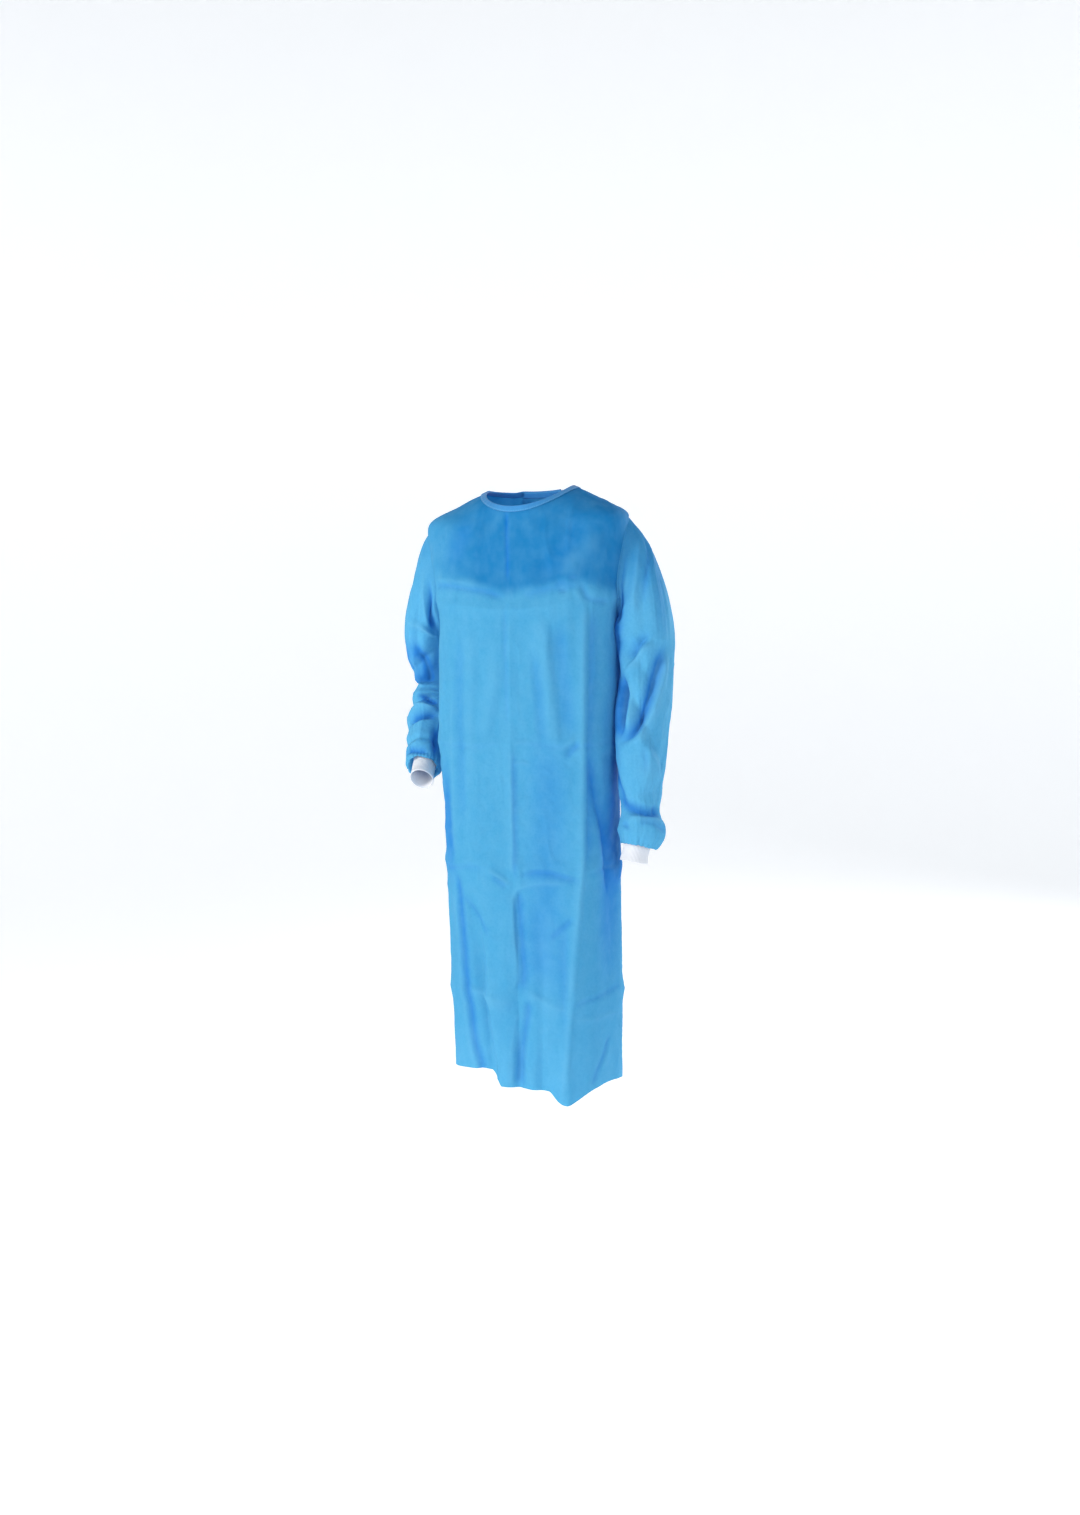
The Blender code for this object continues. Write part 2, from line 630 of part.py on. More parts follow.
def make_waist_ties(finish):
    """Two flat ties, from the side seams round the back to the knot."""
    heights = np.array([TIE_HEIGHT - TIE_WIDTH / 2, TIE_HEIGHT + TIE_WIDTH / 2])
    waist = level_at(TIE_HEIGHT)
    knot_edge = np.degrees(np.arctan2(KNOT[0] + SEAM_GAP, ring_value("back", waist)))
    panels = {name: back_angles(name, np.full((1, 1), 3.0))[0] for name in ("left", "right")}
    lap_edge = BACK - BACK_LAP
    tracks = {
        "left": [a for a in panels["left"] if a < lap_edge - 6]
        + [lap_edge - 2.5]
        + [a for a in panels["right"] if a < BACK - knot_edge - 2]
        + [BACK - knot_edge],
        "right": [BACK + knot_edge] + [a for a in panels["right"] if a > BACK + knot_edge + 2],
    }
    for side_name, track in tracks.items():
        angles, rows = np.meshgrid(track, level_at(heights))
        lift = np.where(angles > lap_edge - 4, lap_lift(np.maximum(angles, lap_edge), rows), 0.0)
        points = raised(angles, rows, lift + LAY_GAP + TIE_WALL)
        facing = body_normal(angles, rows)
        cloth(f"waist_tie_{side_name}", points, points - facing * TIE_WALL, finish)


def knot_centre():
    level = level_at(TIE_HEIGHT)
    return raised(BACK, level, lap_lift(BACK, level) + LAY_GAP + KNOT[1])


def make_knot(finish):
    """The knot is a rounded block that lies on the right back panel."""
    mesh = bmesh.new()
    bmesh.ops.create_uvsphere(mesh, u_segments=14, v_segments=8, radius=1.0)
    centre = knot_centre()
    for vert in mesh.verts:
        direction = np.array(vert.co)
        vert.co = centre + np.sign(direction) * np.abs(direction) ** KNOT_ROUND * KNOT
    add_object("tie_knot", mesh, finish)


def flat_strip(name, path, wide, width, wall, finish):
    """A flat strip along a path, with its width along one direction."""
    path = np.asarray(path)
    along = unit(np.gradient(path, axis=0))
    wide = unit(np.broadcast_to(wide, path.shape))
    half = wide * width / 2
    thick = unit(np.cross(wide, along)) * wall / 2
    corners = (path - half + thick, path + half + thick, path + half - thick, path - half - thick)
    bar(name, np.stack(corners, axis=1), finish)


def make_loops(finish):
    """Flattened loops of the bow, which leave the knot sideways and down and come back over."""
    centre = knot_centre()
    level = level_at(TIE_HEIGHT - 0.04)
    base = raised(BACK, level, lap_lift(BACK, level) + LOOP_OFF)[1]
    bend = LOOP_LENGTH - LOOP_FULL
    turn = np.linspace(-np.pi / 2, np.pi / 2, 7)
    route = [(LOOP_START, 0.0), (0.6 * bend, -0.001), (bend - 0.010, 0.0)]
    route += [(bend + LOOP_FULL * np.cos(t), LOOP_FULL * (1 + np.sin(t))) for t in turn]
    route += [(bend - 0.012, 2 * LOOP_FULL + 0.001), (0.6 * bend, 2 * LOOP_FULL), (LOOP_START, 1.3 * LOOP_FULL)]
    for side_name in ("left", "right"):
        slope = np.radians(LOOP_DROP)
        out = np.array([SIGN[side_name] * np.cos(slope), 0.0, -np.sin(slope)])
        start = np.array([centre[0], base, centre[2]])
        path = [start + out * run + np.array([0.0, high, 0.0]) for run, high in route]
        wide = np.cross(out, [0.0, 1.0, 0.0])
        flat_strip(f"tie_loop_{side_name}", path, wide, TIE_WIDTH * 0.9, TIE_WALL, finish)


def make_tails(finish):
    """Loose ends of the ties, which hang from the knot down the back."""
    for tail in TAILS:
        run = np.linspace(0.0, 1.0, 14)
        below = abs(tail.knot_off - LAY_GAP - KNOT[1]) / KNOT[1]
        knot_foot = KNOT[2] * (1 - below ** (2 / KNOT_ROUND)) ** (KNOT_ROUND / 2)
        levels = level_at(TIE_HEIGHT - knot_foot - 3 * SEAM_GAP - tail.length * run)
        angles = tail.angle + tail.spread * run
        off = tail.off + (tail.knot_off - tail.off) * smooth(1 - 5 * run)
        path = raised(angles, levels, lap_lift(angles, levels) + off)
        wide = body(angles - 1, levels) - body(angles + 1, levels)
        flat_strip(tail.name, path, wide, TIE_WIDTH, TIE_WALL, finish)


def clear_scene():
    for item in list(bpy.data.objects):
        bpy.data.objects.remove(item, do_unlink=True)


def main():
    clear_scene()
    blue = material("blue nonwoven cloth", (0.09, 0.36, 0.72), 0.75)
    knit = material("white rib knit", (0.86, 0.86, 0.88), 0.9)
    fastener = material("white hook and loop", (0.82, 0.84, 0.86), 0.85)
    make_panels(blue)
    make_sleeves(blue)
    make_cuffs(knit)
    make_binding(blue)
    make_neck_closure(fastener)
    make_waist_ties(blue)
    make_knot(blue)
    make_loops(blue)
    make_tails(blue)


main()
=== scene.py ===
"""A worn isolation gown of blue nonwoven cloth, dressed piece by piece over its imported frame.

The gown's left, as it is worn, is +X, the front faces -Y and +Z is up, in metres. The origin is
between the shoulder seams' neck ends. Places on the body's cloth are read as a maker would mark them
on a flat panel: so far across from the panel's middle, towards the gown's left, and so far up from
the shoulder seams' neck ends.
"""

from collections import namedtuple

import bpy
import numpy as np
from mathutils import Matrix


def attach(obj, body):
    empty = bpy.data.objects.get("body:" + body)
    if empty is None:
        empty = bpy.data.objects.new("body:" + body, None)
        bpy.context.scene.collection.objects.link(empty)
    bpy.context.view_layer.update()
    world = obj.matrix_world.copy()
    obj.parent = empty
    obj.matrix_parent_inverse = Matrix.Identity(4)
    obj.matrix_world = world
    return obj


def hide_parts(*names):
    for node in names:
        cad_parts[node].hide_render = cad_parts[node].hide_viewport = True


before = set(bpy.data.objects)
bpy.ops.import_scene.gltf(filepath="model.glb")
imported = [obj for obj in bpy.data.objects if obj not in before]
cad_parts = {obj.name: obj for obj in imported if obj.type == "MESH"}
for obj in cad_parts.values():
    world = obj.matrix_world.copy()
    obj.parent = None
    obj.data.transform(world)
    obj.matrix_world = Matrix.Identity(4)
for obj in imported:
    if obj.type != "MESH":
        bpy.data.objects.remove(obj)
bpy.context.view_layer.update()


# The room
# A pale paper sweep that rises all round the gown, three soft boxes and a pale sky overhead. The main
# soft box stands to the left of the camera, in front of the gown and a little above it.

FLOOR_HEIGHT = -1.47
SWEEP_FLAT, SWEEP_OUT, SWEEP_TOP = 4.6, 7.4, 5.5
SWEEP_SIDES = 96
SWEEP_WHITE = (0.86, 0.87, 0.89)
SWEEP_GLOW, SWEEP_GLOW_COLOUR = 0.36, (1.0, 1.0, 1.0)
SKY_COLOUR, SKY_STRENGTH = (0.80, 0.91, 1.0), 0.24
CAMERA_TURN, CAMERA_DIP = 20.0, 4.3
CAMERA_AWAY, CAMERA_SIDE, CAMERA_HEIGHT = 2.8, 0.019, -0.296
CAMERA_LENS = 35.03

sweep_rise = SWEEP_OUT - SWEEP_FLAT
sweep_profile = [(SWEEP_FLAT, 0.0)]
for bend in np.linspace(0.1, 1.0, 12) * np.pi / 2:
    sweep_profile.append((SWEEP_FLAT + sweep_rise * np.sin(bend), sweep_rise * (1 - np.cos(bend))))
sweep_profile.append((SWEEP_OUT, SWEEP_TOP))
sweep_points, sweep_faces = [(0.0, 0.0, FLOOR_HEIGHT)], []
for out, high in sweep_profile:
    for turn in np.arange(SWEEP_SIDES) * 2 * np.pi / SWEEP_SIDES:
        sweep_points.append((out * np.cos(turn), out * np.sin(turn), FLOOR_HEIGHT + high))
for side in range(SWEEP_SIDES):
    beside = (side + 1) % SWEEP_SIDES
    sweep_faces.append((0, 1 + side, 1 + beside))
    for ring in range(len(sweep_profile) - 1):
        low, high = 1 + ring * SWEEP_SIDES, 1 + (ring + 1) * SWEEP_SIDES
        sweep_faces.append((low + side, high + side, high + beside, low + beside))
sweep_mesh = bpy.data.meshes.new("paper_sweep")
sweep_mesh.from_pydata(sweep_points, [], sweep_faces)
sweep_mesh.shade_smooth()
paper = bpy.data.materials.new("pale paper")
paper.use_nodes = True
paper_shader = paper.node_tree.nodes["Principled BSDF"]
paper_shader.inputs["Base Color"].default_value = (*SWEEP_WHITE, 1.0)
paper_shader.inputs["Roughness"].default_value = 0.9
paper_shader.inputs["Emission Color"].default_value = (*SWEEP_GLOW_COLOUR, 1.0)
paper_shader.inputs["Emission Strength"].default_value = SWEEP_GLOW
sweep_mesh.materials.append(paper)
sweep = bpy.data.objects.new("paper_sweep", sweep_mesh)
bpy.context.scene.collection.objects.link(sweep)

sky = bpy.data.worlds.new("pale sky")
sky.use_nodes = True
sky.node_tree.nodes["Background"].inputs["Color"].default_value = (*SKY_COLOUR, 1.0)
sky.node_tree.nodes["Background"].inputs["Strength"].default_value = SKY_STRENGTH
bpy.context.scene.world = sky

SoftBox = namedtuple("SoftBox", "name place aim size power colour")
SOFT_BOXES = (
    SoftBox("main_soft_box", (-2.6, -3.1, 0.7), (0.0, 0.0, -0.5), 0.8, 98.0, (1.0, 0.965, 0.90)),
    SoftBox("side_soft_box", (2.5, -2.6, 0.2), (0.1, 0.0, -0.5), 1.2, 18.0, (0.80, 0.93, 1.0)),
    SoftBox("back_soft_box", (1.6, 3.4, 1.0), (0.0, 0.0, -0.6), 1.4, 70.0, (1.0, 0.98, 0.95)),
)
for box in SOFT_BOXES:
    lamp = bpy.data.lights.new(box.name, "AREA")
    lamp.shape = "DISK"
    lamp.size = box.size
    lamp.energy = box.power
    lamp.color = box.colour
    stand = bpy.data.objects.new(box.name, lamp)
    stand.location = box.place
    toward = np.array(box.aim) - np.array(box.place)
    toward = toward / np.linalg.norm(toward)
    stand.rotation_euler = (
        np.arccos(-toward[2]),
        0.0,
        np.arctan2(-toward[0], toward[1]),
    )
    bpy.context.scene.collection.objects.link(stand)

lens = bpy.data.cameras.new("camera")
lens.lens = CAMERA_LENS
lens.sensor_width = 36.0
camera = bpy.data.objects.new("camera", lens)
turned = np.radians(CAMERA_TURN)
camera.location = (
    CAMERA_AWAY * np.sin(turned) + CAMERA_SIDE * np.cos(turned),
    -CAMERA_AWAY * np.cos(turned) + CAMERA_SIDE * np.sin(turned),
    CAMERA_HEIGHT,
)
camera.rotation_euler = (np.radians(90.0 - CAMERA_DIP), 0.0, turned)
bpy.context.scene.collection.objects.link(camera)
bpy.context.scene.camera = camera
bpy.context.scene.view_settings.view_transform = "Standard"
bpy.context.scene.view_settings.look = "None"


# Blue nonwoven cloth
# Spunbond and meltblown polypropylene, bonded through in rows of small ovals. The sheet is matte and
# lets some light through. It is cloudy where the fibres lie thicker and paler where it was pressed.

CLOTH_BLUE = (0.084, 0.402, 0.655)
# Painted light: the sleeves' cloth, the same blue painted lighter, as if more light came through where it
# hangs free of the body
CLOTH_PAINTED_LIGHTER = (0.112, 0.470, 0.745)
# A darker tone of the fibres and bonds, and also painted shade where the cloth lies on the body
CLOTH_DEEP = (0.014, 0.215, 0.490)
# Painted shade: these two are laid where the cloth folds in and where the arms cast shadows on it
CLOTH_PAINTED_SHADE = (0.004, 0.150, 0.560)
CLOTH_PAINTED_DEEP_SHADE = (0.002, 0.070, 0.290)
# A paler tone of the fibres, streaks and pressed lines, and also painted highlight on ridges and painted
# light on the lower skirt
CLOTH_PALE = (0.19, 0.54, 0.77)
CLOTH_THROUGH = (0.0, 0.32, 0.95)
THROUGH_SHARE = 0.22
SHEEN_BLUE = (0.25, 0.65, 1.0)
BOND_ACROSS, BOND_UP, BOND_OVAL = 0.0019, 0.0015, 1.25
DOT_CORE, DOT_EDGE = 0.20, 0.32
CLOUD_SIZE, FIBRE_SIZE, DENT_SIZE = 0.022, 0.0045, 0.035
STREAK_SIZE, STREAK_STRETCH = 0.030, (1.0, 1.0, 0.35)


class Recipe:
    """Adds and joins the nodes of one material."""

    def __init__(self, name):
        self.material = bpy.data.materials.new(name)
        self.material.use_nodes = True
        self.tree = self.material.node_tree
        self.shader = self.tree.nodes["Principled BSDF"]

    def feed(self, socket, value):
        """Joins another node's output to a socket, or sets a number or a colour on the socket."""
        if isinstance(value, bpy.types.NodeSocket):
            self.tree.links.new(value, socket)
        else:
            socket.default_value = (*value, 1.0) if socket.type == "RGBA" else value

    def node(self, kind, inputs, output=0, **settings):
        made = self.tree.nodes.new(kind)
        for name, value in settings.items():
            setattr(made, name, value)
        for key, value in inputs.items():
            self.feed(made.inputs[key], value)
        return made.outputs[output]

    def sum(self, operation, *values):
        return self.node("ShaderNodeMath", dict(enumerate(values)), operation=operation)

    def times(self, value, share):
        return self.sum("MULTIPLY", value, share)

    def mark(self, name):
        """A value painted on the mesh, from 0 to 1."""
        return self.node("ShaderNodeAttribute", {}, "Fac", attribute_name=name)

    def place(self):
        return self.node("ShaderNodeTexCoord", {}, "Object")

    def flat_place(self):
        """How far across and how far up a point lies on the flat cloth."""
        place = self.node("ShaderNodeUVMap", {}, uv_map="cloth")
        return [self.node("ShaderNodeSeparateXYZ", {0: place}, output) for output in "XY"]

    def cloud(self, place, size, detail, rough):
        """Soft uneven noise from 0 to 1 with a patch size in metres."""
        inputs = {"Vector": place, "Scale": 1.0 / size, "Detail": detail, "Roughness": rough}
        return self.node("ShaderNodeTexNoise", inputs, "Fac")

    def blend(self, share, first, second):
        return self.node("ShaderNodeMix", {0: share, 6: first, 7: second}, 2, data_type="RGBA")

    def between(self, value, low, high, out_low=0.0, out_high=1.0):
        inputs = {0: value, 1: low, 2: high, 3: out_low, 4: out_high}
        return self.node("ShaderNodeMapRange", inputs, clamp=True)

    def bump(self, height, strength, depth, **under):
        inputs = {"Height": height, "Strength": strength, "Distance": depth, **under}
        return self.node("ShaderNodeBump", inputs)

    def finish(self, colour, normal, settings):
        for name, value in {"Base Color": colour, "Normal": normal, **settings}.items():
            self.feed(self.shader.inputs[name], value)
        return self.material


def dot_rows(recipe, across_step, up_step, oval=1.0):
    """Rows of small ovals on the flat cloth, each row half a step on: 1 inside an oval."""
    across, up = recipe.flat_place()
    row = recipe.sum("DIVIDE", up, up_step)
    odd = recipe.times(recipe.sum("FLOORED_MODULO", recipe.sum("FLOOR", row), 2.0), 0.5)
    column = recipe.sum("ADD", recipe.sum("DIVIDE", across, across_step), odd)
    x = recipe.sum("SUBTRACT", recipe.sum("FRACT", column), 0.5)
    y = recipe.times(recipe.sum("SUBTRACT", recipe.sum("FRACT", row), 0.5), oval)
    gap = recipe.sum("SQRT", recipe.sum("ADD", recipe.times(x, x), recipe.times(y, y)))
    return recipe.between(gap, DOT_CORE, DOT_EDGE, 1.0, 0.0)


def nonwoven(name, blue):
    """The gown's cloth. Marks on the mesh say where it is pressed pale, where painted shade lies in
    folds, in the arms' shadows and on the body, and where painted light lies on ridges and the lower
    skirt.
    """
    recipe = Recipe(name)
    place = recipe.place()
    clouds = recipe.cloud(place, CLOUD_SIZE, 3.0, 0.5)
    fibres = recipe.cloud(place, FIBRE_SIZE, 4.0, 0.65)
    hanging = recipe.node("ShaderNodeMapping", {"Vector": place, "Scale": STREAK_STRETCH})
    streaks = recipe.cloud(hanging, STREAK_SIZE, 3.0, 0.6)
    bonds = dot_rows(recipe, BOND_ACROSS, BOND_UP, BOND_OVAL)
    folded = recipe.mark("folded")
    # Painted shade: deeper blue where the cloth lies on the chest and the shoulders
    colour = recipe.blend(recipe.mark("on_body_shade"), blue, CLOTH_DEEP)
    for value, low, high, share, other in (
        (streaks, 0.50, 0.68, 0.10, CLOTH_PALE),
        (streaks, 0.50, 0.32, 0.10, CLOTH_DEEP),
        # Painted shade: darker in folds and in the arms' shadows, down to a deep navy
        (folded, 0.0, 0.5, 0.85, CLOTH_PAINTED_SHADE),
        (folded, 0.5, 1.0, 0.90, CLOTH_PAINTED_DEEP_SHADE),
        (clouds, 0.35, 0.68, 0.12, CLOTH_PALE),
        (fibres, 0.42, 0.66, 0.16, CLOTH_DEEP),
        # Painted highlight on ridges, and painted light on the lower skirt
        (recipe.mark("raised"), 0.0, 1.0, 0.45, CLOTH_PALE),
        (recipe.mark("pressed"), 0.0, 1.0, 0.08, CLOTH_PALE),
        (bonds, 0.0, 1.0, 0.13, CLOTH_DEEP),
    ):
        colour = recipe.blend(recipe.between(value, low, high, 0.0, share), colour, other)
    height = recipe.sum("SUBTRACT", recipe.times(fibres, 0.35), recipe.times(bonds, 0.55))
    fine = recipe.bump(height, 0.35, 0.0003)
    soft = recipe.bump(recipe.cloud(place, DENT_SIZE, 2.5, 0.55), 0.5, 0.0035, Normal=fine)
    through = recipe.blend(0.5, colour, CLOTH_THROUGH)
    glow = recipe.node("ShaderNodeBsdfTranslucent", {"Color": through, "Normal": soft})
    let_through = recipe.between(folded, 0.0, 0.7, THROUGH_SHARE, 0.15 * THROUGH_SHARE)
    surface = {0: let_through, 1: recipe.shader.outputs[0], 2: glow}
    output = recipe.tree.nodes["Material Output"]
    recipe.feed(output.inputs["Surface"], recipe.node("ShaderNodeMixShader", surface))
    return recipe.finish(colour, soft, {
        "Roughness": recipe.between(bonds, 0.0, 1.0, 0.74, 0.56),
        "Specular IOR Level": 0.06,
        "Sheen Weight": 0.10,
        "Sheen Tint": SHEEN_BLUE,
        "Sheen Roughness": 0.5,
    })


gown_cloth = nonwoven("blue nonwoven cloth", CLOTH_BLUE)


# The form of the body
# Front and backs are cut from the same cloth and hang as one form from the shoulders. Its rings run
# from the hem up over the shoulders to the neckline, and a level counts them from the hem.

Ring = namedtuple(
    "Ring", "name side_z front_z back_z half_width front back square_front square_back shift"
)
RINGS = (
    Ring("hem", -1.120, -1.114, -1.118, 0.156, 0.118, 0.122, 2.7, 2.2, 0.024),
    Ring("shin crease", -0.944, -0.944, -0.944, 0.160, 0.115, 0.120, 2.8, 2.2, 0.021),
    Ring("knee crease", -0.704, -0.704, -0.704, 0.166, 0.108, 0.116, 2.9, 2.2, 0.010),
    Ring("waist crease", -0.474, -0.474, -0.474, 0.174, 0.101, 0.104, 2.9, 2.3, 0.001),
    Ring("ribs", -0.350, -0.350, -0.350, 0.176, 0.102, 0.108, 2.9, 2.3, 0.000),
    Ring("underarm", -0.250, -0.262, -0.252, 0.174, 0.104, 0.114, 2.9, 2.3, 0.000),
    Ring("chest crease", -0.178, -0.210, -0.186, 0.181, 0.102, 0.114, 2.8, 2.3, 0.000),
    Ring("armhole", -0.105, -0.155, -0.124, 0.190, 0.097, 0.108, 2.6, 2.3, 0.000),
    Ring("shoulder", -0.052, -0.107, -0.074, 0.193, 0.094, 0.096, 2.4, 2.2, 0.000),
    Ring("yoke", -0.027, -0.074, -0.036, 0.142, 0.091, 0.078, 2.2, 2.1, 0.001),
    Ring("neckline", 0.000, -0.041, -0.002, 0.085, 0.088, 0.062, 2.1, 2.1, 0.003),
)
UNDERARM, SHOULDER_TIP = 5.0, 8.0
SHOULDER_SLOPE = 0.026
FRONT, BACK = -90.0, 90.0
SIDE_SEAM = 10.0
ARMHOLE_REACH, ARMHOLE_EGG, ARMHOLE_ROUND = 19.0, 0.75, 0.6
SEAM_TUCK = 0.0002

Fold = namedtuple("Fold", "name angle top bottom half_angle out drift sharp")
FOLDS = (
    Fold("left front crease", -33.0, -0.200, -1.12, 17.0, 0.015, -19.0, 1.3),
    Fold("left side trough", -8.0, -0.480, -1.12, 13.0, -0.007, 0.0, 2.0),
    Fold("left front swell", -62.0, -0.700, -1.12, 14.0, -0.005, 0.0, 2.0),
    Fold("centre crease", -90.0, -0.060, -0.70, 9.0, 0.003, 0.0, 1.2),
    Fold("centre trough", -92.0, -0.640, -1.12, 13.0, -0.008, 0.0, 1.6),
    Fold("right front trough", -146.0, -0.720, -1.12, 12.0, -0.013, 25.0, 1.4),
    Fold("right side swell", -172.0, -0.560, -1.12, 13.0, 0.007, 0.0, 2.0),
    Fold("left back trough", 26.0, -0.520, -1.12, 12.0, -0.008, 0.0, 2.0),
    Fold("left back crease", 46.0, -0.350, -1.12, 13.0, 0.010, 0.0, 1.4),
    Fold("lap edge swell", 70.0, -0.560, -1.12, 15.0, 0.008, 0.0, 2.0),
    Fold("right lap trough", 112.0, -0.560, -1.12, 13.0, -0.005, 0.0, 2.0),
    Fold("right back crease", 136.0, -0.350, -1.12, 13.0, 0.010, 0.0, 1.4),
    Fold("right back trough", 158.0, -0.520, -1.12, 12.0, -0.008, 0.0, 2.0),
)
FOLD_ONSET, FOLD_FOOT = 0.45, 0.15
DRIFT_REACH, DRIFT_TOP = 50.0, 3.0
PACKED_SHARP, END_ROUND = 1.2, 1.5

Packed = namedtuple("Packed", "name height half_height out")
PACKED = (
    Packed("chest crease", -0.205, 0.028, 0.0035),
    Packed("waist crease", -0.474, 0.028, 0.0030),
    Packed("knee crease", -0.704, 0.028, 0.0035),
    Packed("shin crease", -0.944, 0.028, 0.0040),
)

Dip = namedtuple("Dip", "name angle half_angle drop")
DIPS = (
    Dip("under the left front crease", -34.0, 18.0, 0.021),
    Dip("at the left side", -4.0, 26.0, -0.011),
    Dip("outside the right front trough", -150.0, 32.0, -0.029),
    Dip("at the right side", -186.0, 36.0, -0.021),
    Dip("behind the left side", 34.0, 28.0, 0.007),
    Dip("under the lap edge", 66.0, 18.0, 0.006),
    Dip("behind the right side", 146.0, 28.0, 0.005),
)


def spline(values, at):
    """A smooth curve through evenly numbered values, read at places between them."""
    values = np.asarray(values, float)
    at = np.clip(np.asarray(at, float), 0.0, len(values) - 1.0)
    low = np.minimum(at.astype(int), len(values) - 2)
    part = at - low
    start, end = values[low], values[low + 1]
    rise = (end - values[np.maximum(low - 1, 0)]) / 2
    leave = (values[np.minimum(low + 2, len(values) - 1)] - start) / 2
    turn = 2 * (start - end) + rise + leave
    bend = 3 * (end - start) - 2 * rise - leave
    return ((turn * part + bend) * part + rise) * part + start


def smooth(share):
    share = np.clip(share, 0.0, 1.0)
    return share * share * (3 - 2 * share)


def hill(distance, half, sharp):
    """A hump one high and two halves wide, a crease for sharp near 1 and a soft fold for 2."""
    inside = np.clip(1 - np.abs(distance) / half, 0.0, 1.0)
    return smooth(inside) if sharp >= 2 else inside**sharp


def apart(angle, other):
    return (angle - other + 180.0) % 360.0 - 180.0


def ring_value(field, level):
    return spline([getattr(ring, field) for ring in RINGS], level)


def body(angle, level):
    """Points of the body's outer face at angles round it and levels up it."""
    angle, level = np.broadcast_arrays(np.asarray(angle, float), np.asarray(level, float))
    height = ring_value("side_z", level)
    drifted, out = np.zeros(angle.shape), np.zeros(angle.shape)
    for fold in FOLDS:
        drifted = drifted + fold.drift * hill(apart(angle, fold.angle), DRIFT_REACH, 2.0)
        run = (fold.top - height) / (fold.top - fold.bottom) / FOLD_ONSET
        ends = smooth(run) * smooth(1 + (height - fold.bottom) / FOLD_FOOT)
        out = out + fold.out * ends * hill(apart(angle, fold.angle), fold.half_angle, fold.sharp)
    for packed in PACKED:
        out = out + packed.out * hill(height - packed.height, packed.half_height, PACKED_SHARP)
    direction = np.radians(angle + drifted * smooth(1 - level / DRIFT_TOP))
    across, deep = np.cos(direction), np.sin(direction)
    ahead = deep < 0
    depth = np.where(ahead, ring_value("front", level), ring_value("back", level))
    square = np.where(ahead, ring_value("square_front", level), ring_value("square_back", level))
    width = ring_value("half_width", level)
    reach = (np.abs(across / width) ** square + np.abs(deep / depth) ** square) ** (-1 / square)
    end_z = np.where(ahead, ring_value("front_z", level), ring_value("back_z", level))
    height = height + (end_z - height) * np.abs(deep) ** END_ROUND
    for dip in DIPS:
        hanging = smooth(1 - level) * hill(apart(angle, dip.angle), dip.half_angle, 2.0)
        height = height - dip.drop * hanging
    sideways = (reach + out) * across + ring_value("shift", level)
    height = height + SHOULDER_SLOPE * sideways * smooth((level - UNDERARM) / 2)
    return np.stack([sideways, (reach + out) * deep, height], axis=-1)


def unit(vectors):
    return vectors / np.linalg.norm(vectors, axis=-1, keepdims=True)


def body_normal(angle, level):
    turn, rise = 0.5, 0.04
    along = body(angle + turn, level) - body(angle - turn, level)
    high = np.minimum(level + rise, len(RINGS) - 1.0)
    low = np.maximum(level - rise, 0.0)
    return unit(np.cross(along, body(angle, high) - body(angle, low)))


def raised(angle, level, out):
    return body(angle, level) + body_normal(angle, level) * np.asarray(out)[..., None]


def armhole(share):
    """Half the armhole's width in degrees, from the underarm at 0 to the shoulder tip at 1."""
    return ARMHOLE_REACH * np.sin(np.pi * np.clip(share, 0.0, 1.0) ** ARMHOLE_EGG) ** ARMHOLE_ROUND


def squeezed(offset, free, side, level):
    """Columns past the free angle close up, so that the last one runs along the armhole."""
    width = armhole((level - UNDERARM) / (SHOULDER_TIP - UNDERARM))
    share = (np.abs(offset) - free) / (side - free)
    closed = free + share * (side - width - free)
    return np.sign(offset) * np.where(share > 0, closed, np.abs(offset))


# Creases and crumple
# The cloth is stiff: it keeps the creases it was packed with and breaks into flat faces where it
# hangs. Each crease is a line on the flat cloth with its own height and its own slope on each side.
# Its places and sizes are in millimetres, and fade is how far from its ends it starts to run out.
# Dark is how much painted shade it lays on the cloth; without it, a sunken crease gets painted shade
# as deep as it sinks, and a raised one gets a painted highlight. Some have no height and are only
# painted shade.

Crease = namedtuple(
    "Crease", "name out one_side other_side sharp path fade dark", defaults=(30, None)
)
DARK_DEPTH, PALE_HEIGHT = 0.009, 0.012
CREASE_ROUND = 0.0014
PRESSED_SHARP, PRESSED_HALF = 1.7, 0.007


def metres(values):
    return np.asarray(values, float) / 1000


def smooth_path(path, steps=6):
    at = np.linspace(0, len(path) - 1, steps * (len(path) - 1) + 1)
    return np.stack([spline(path[:, 0], at), spline(path[:, 1], at)], axis=-1)


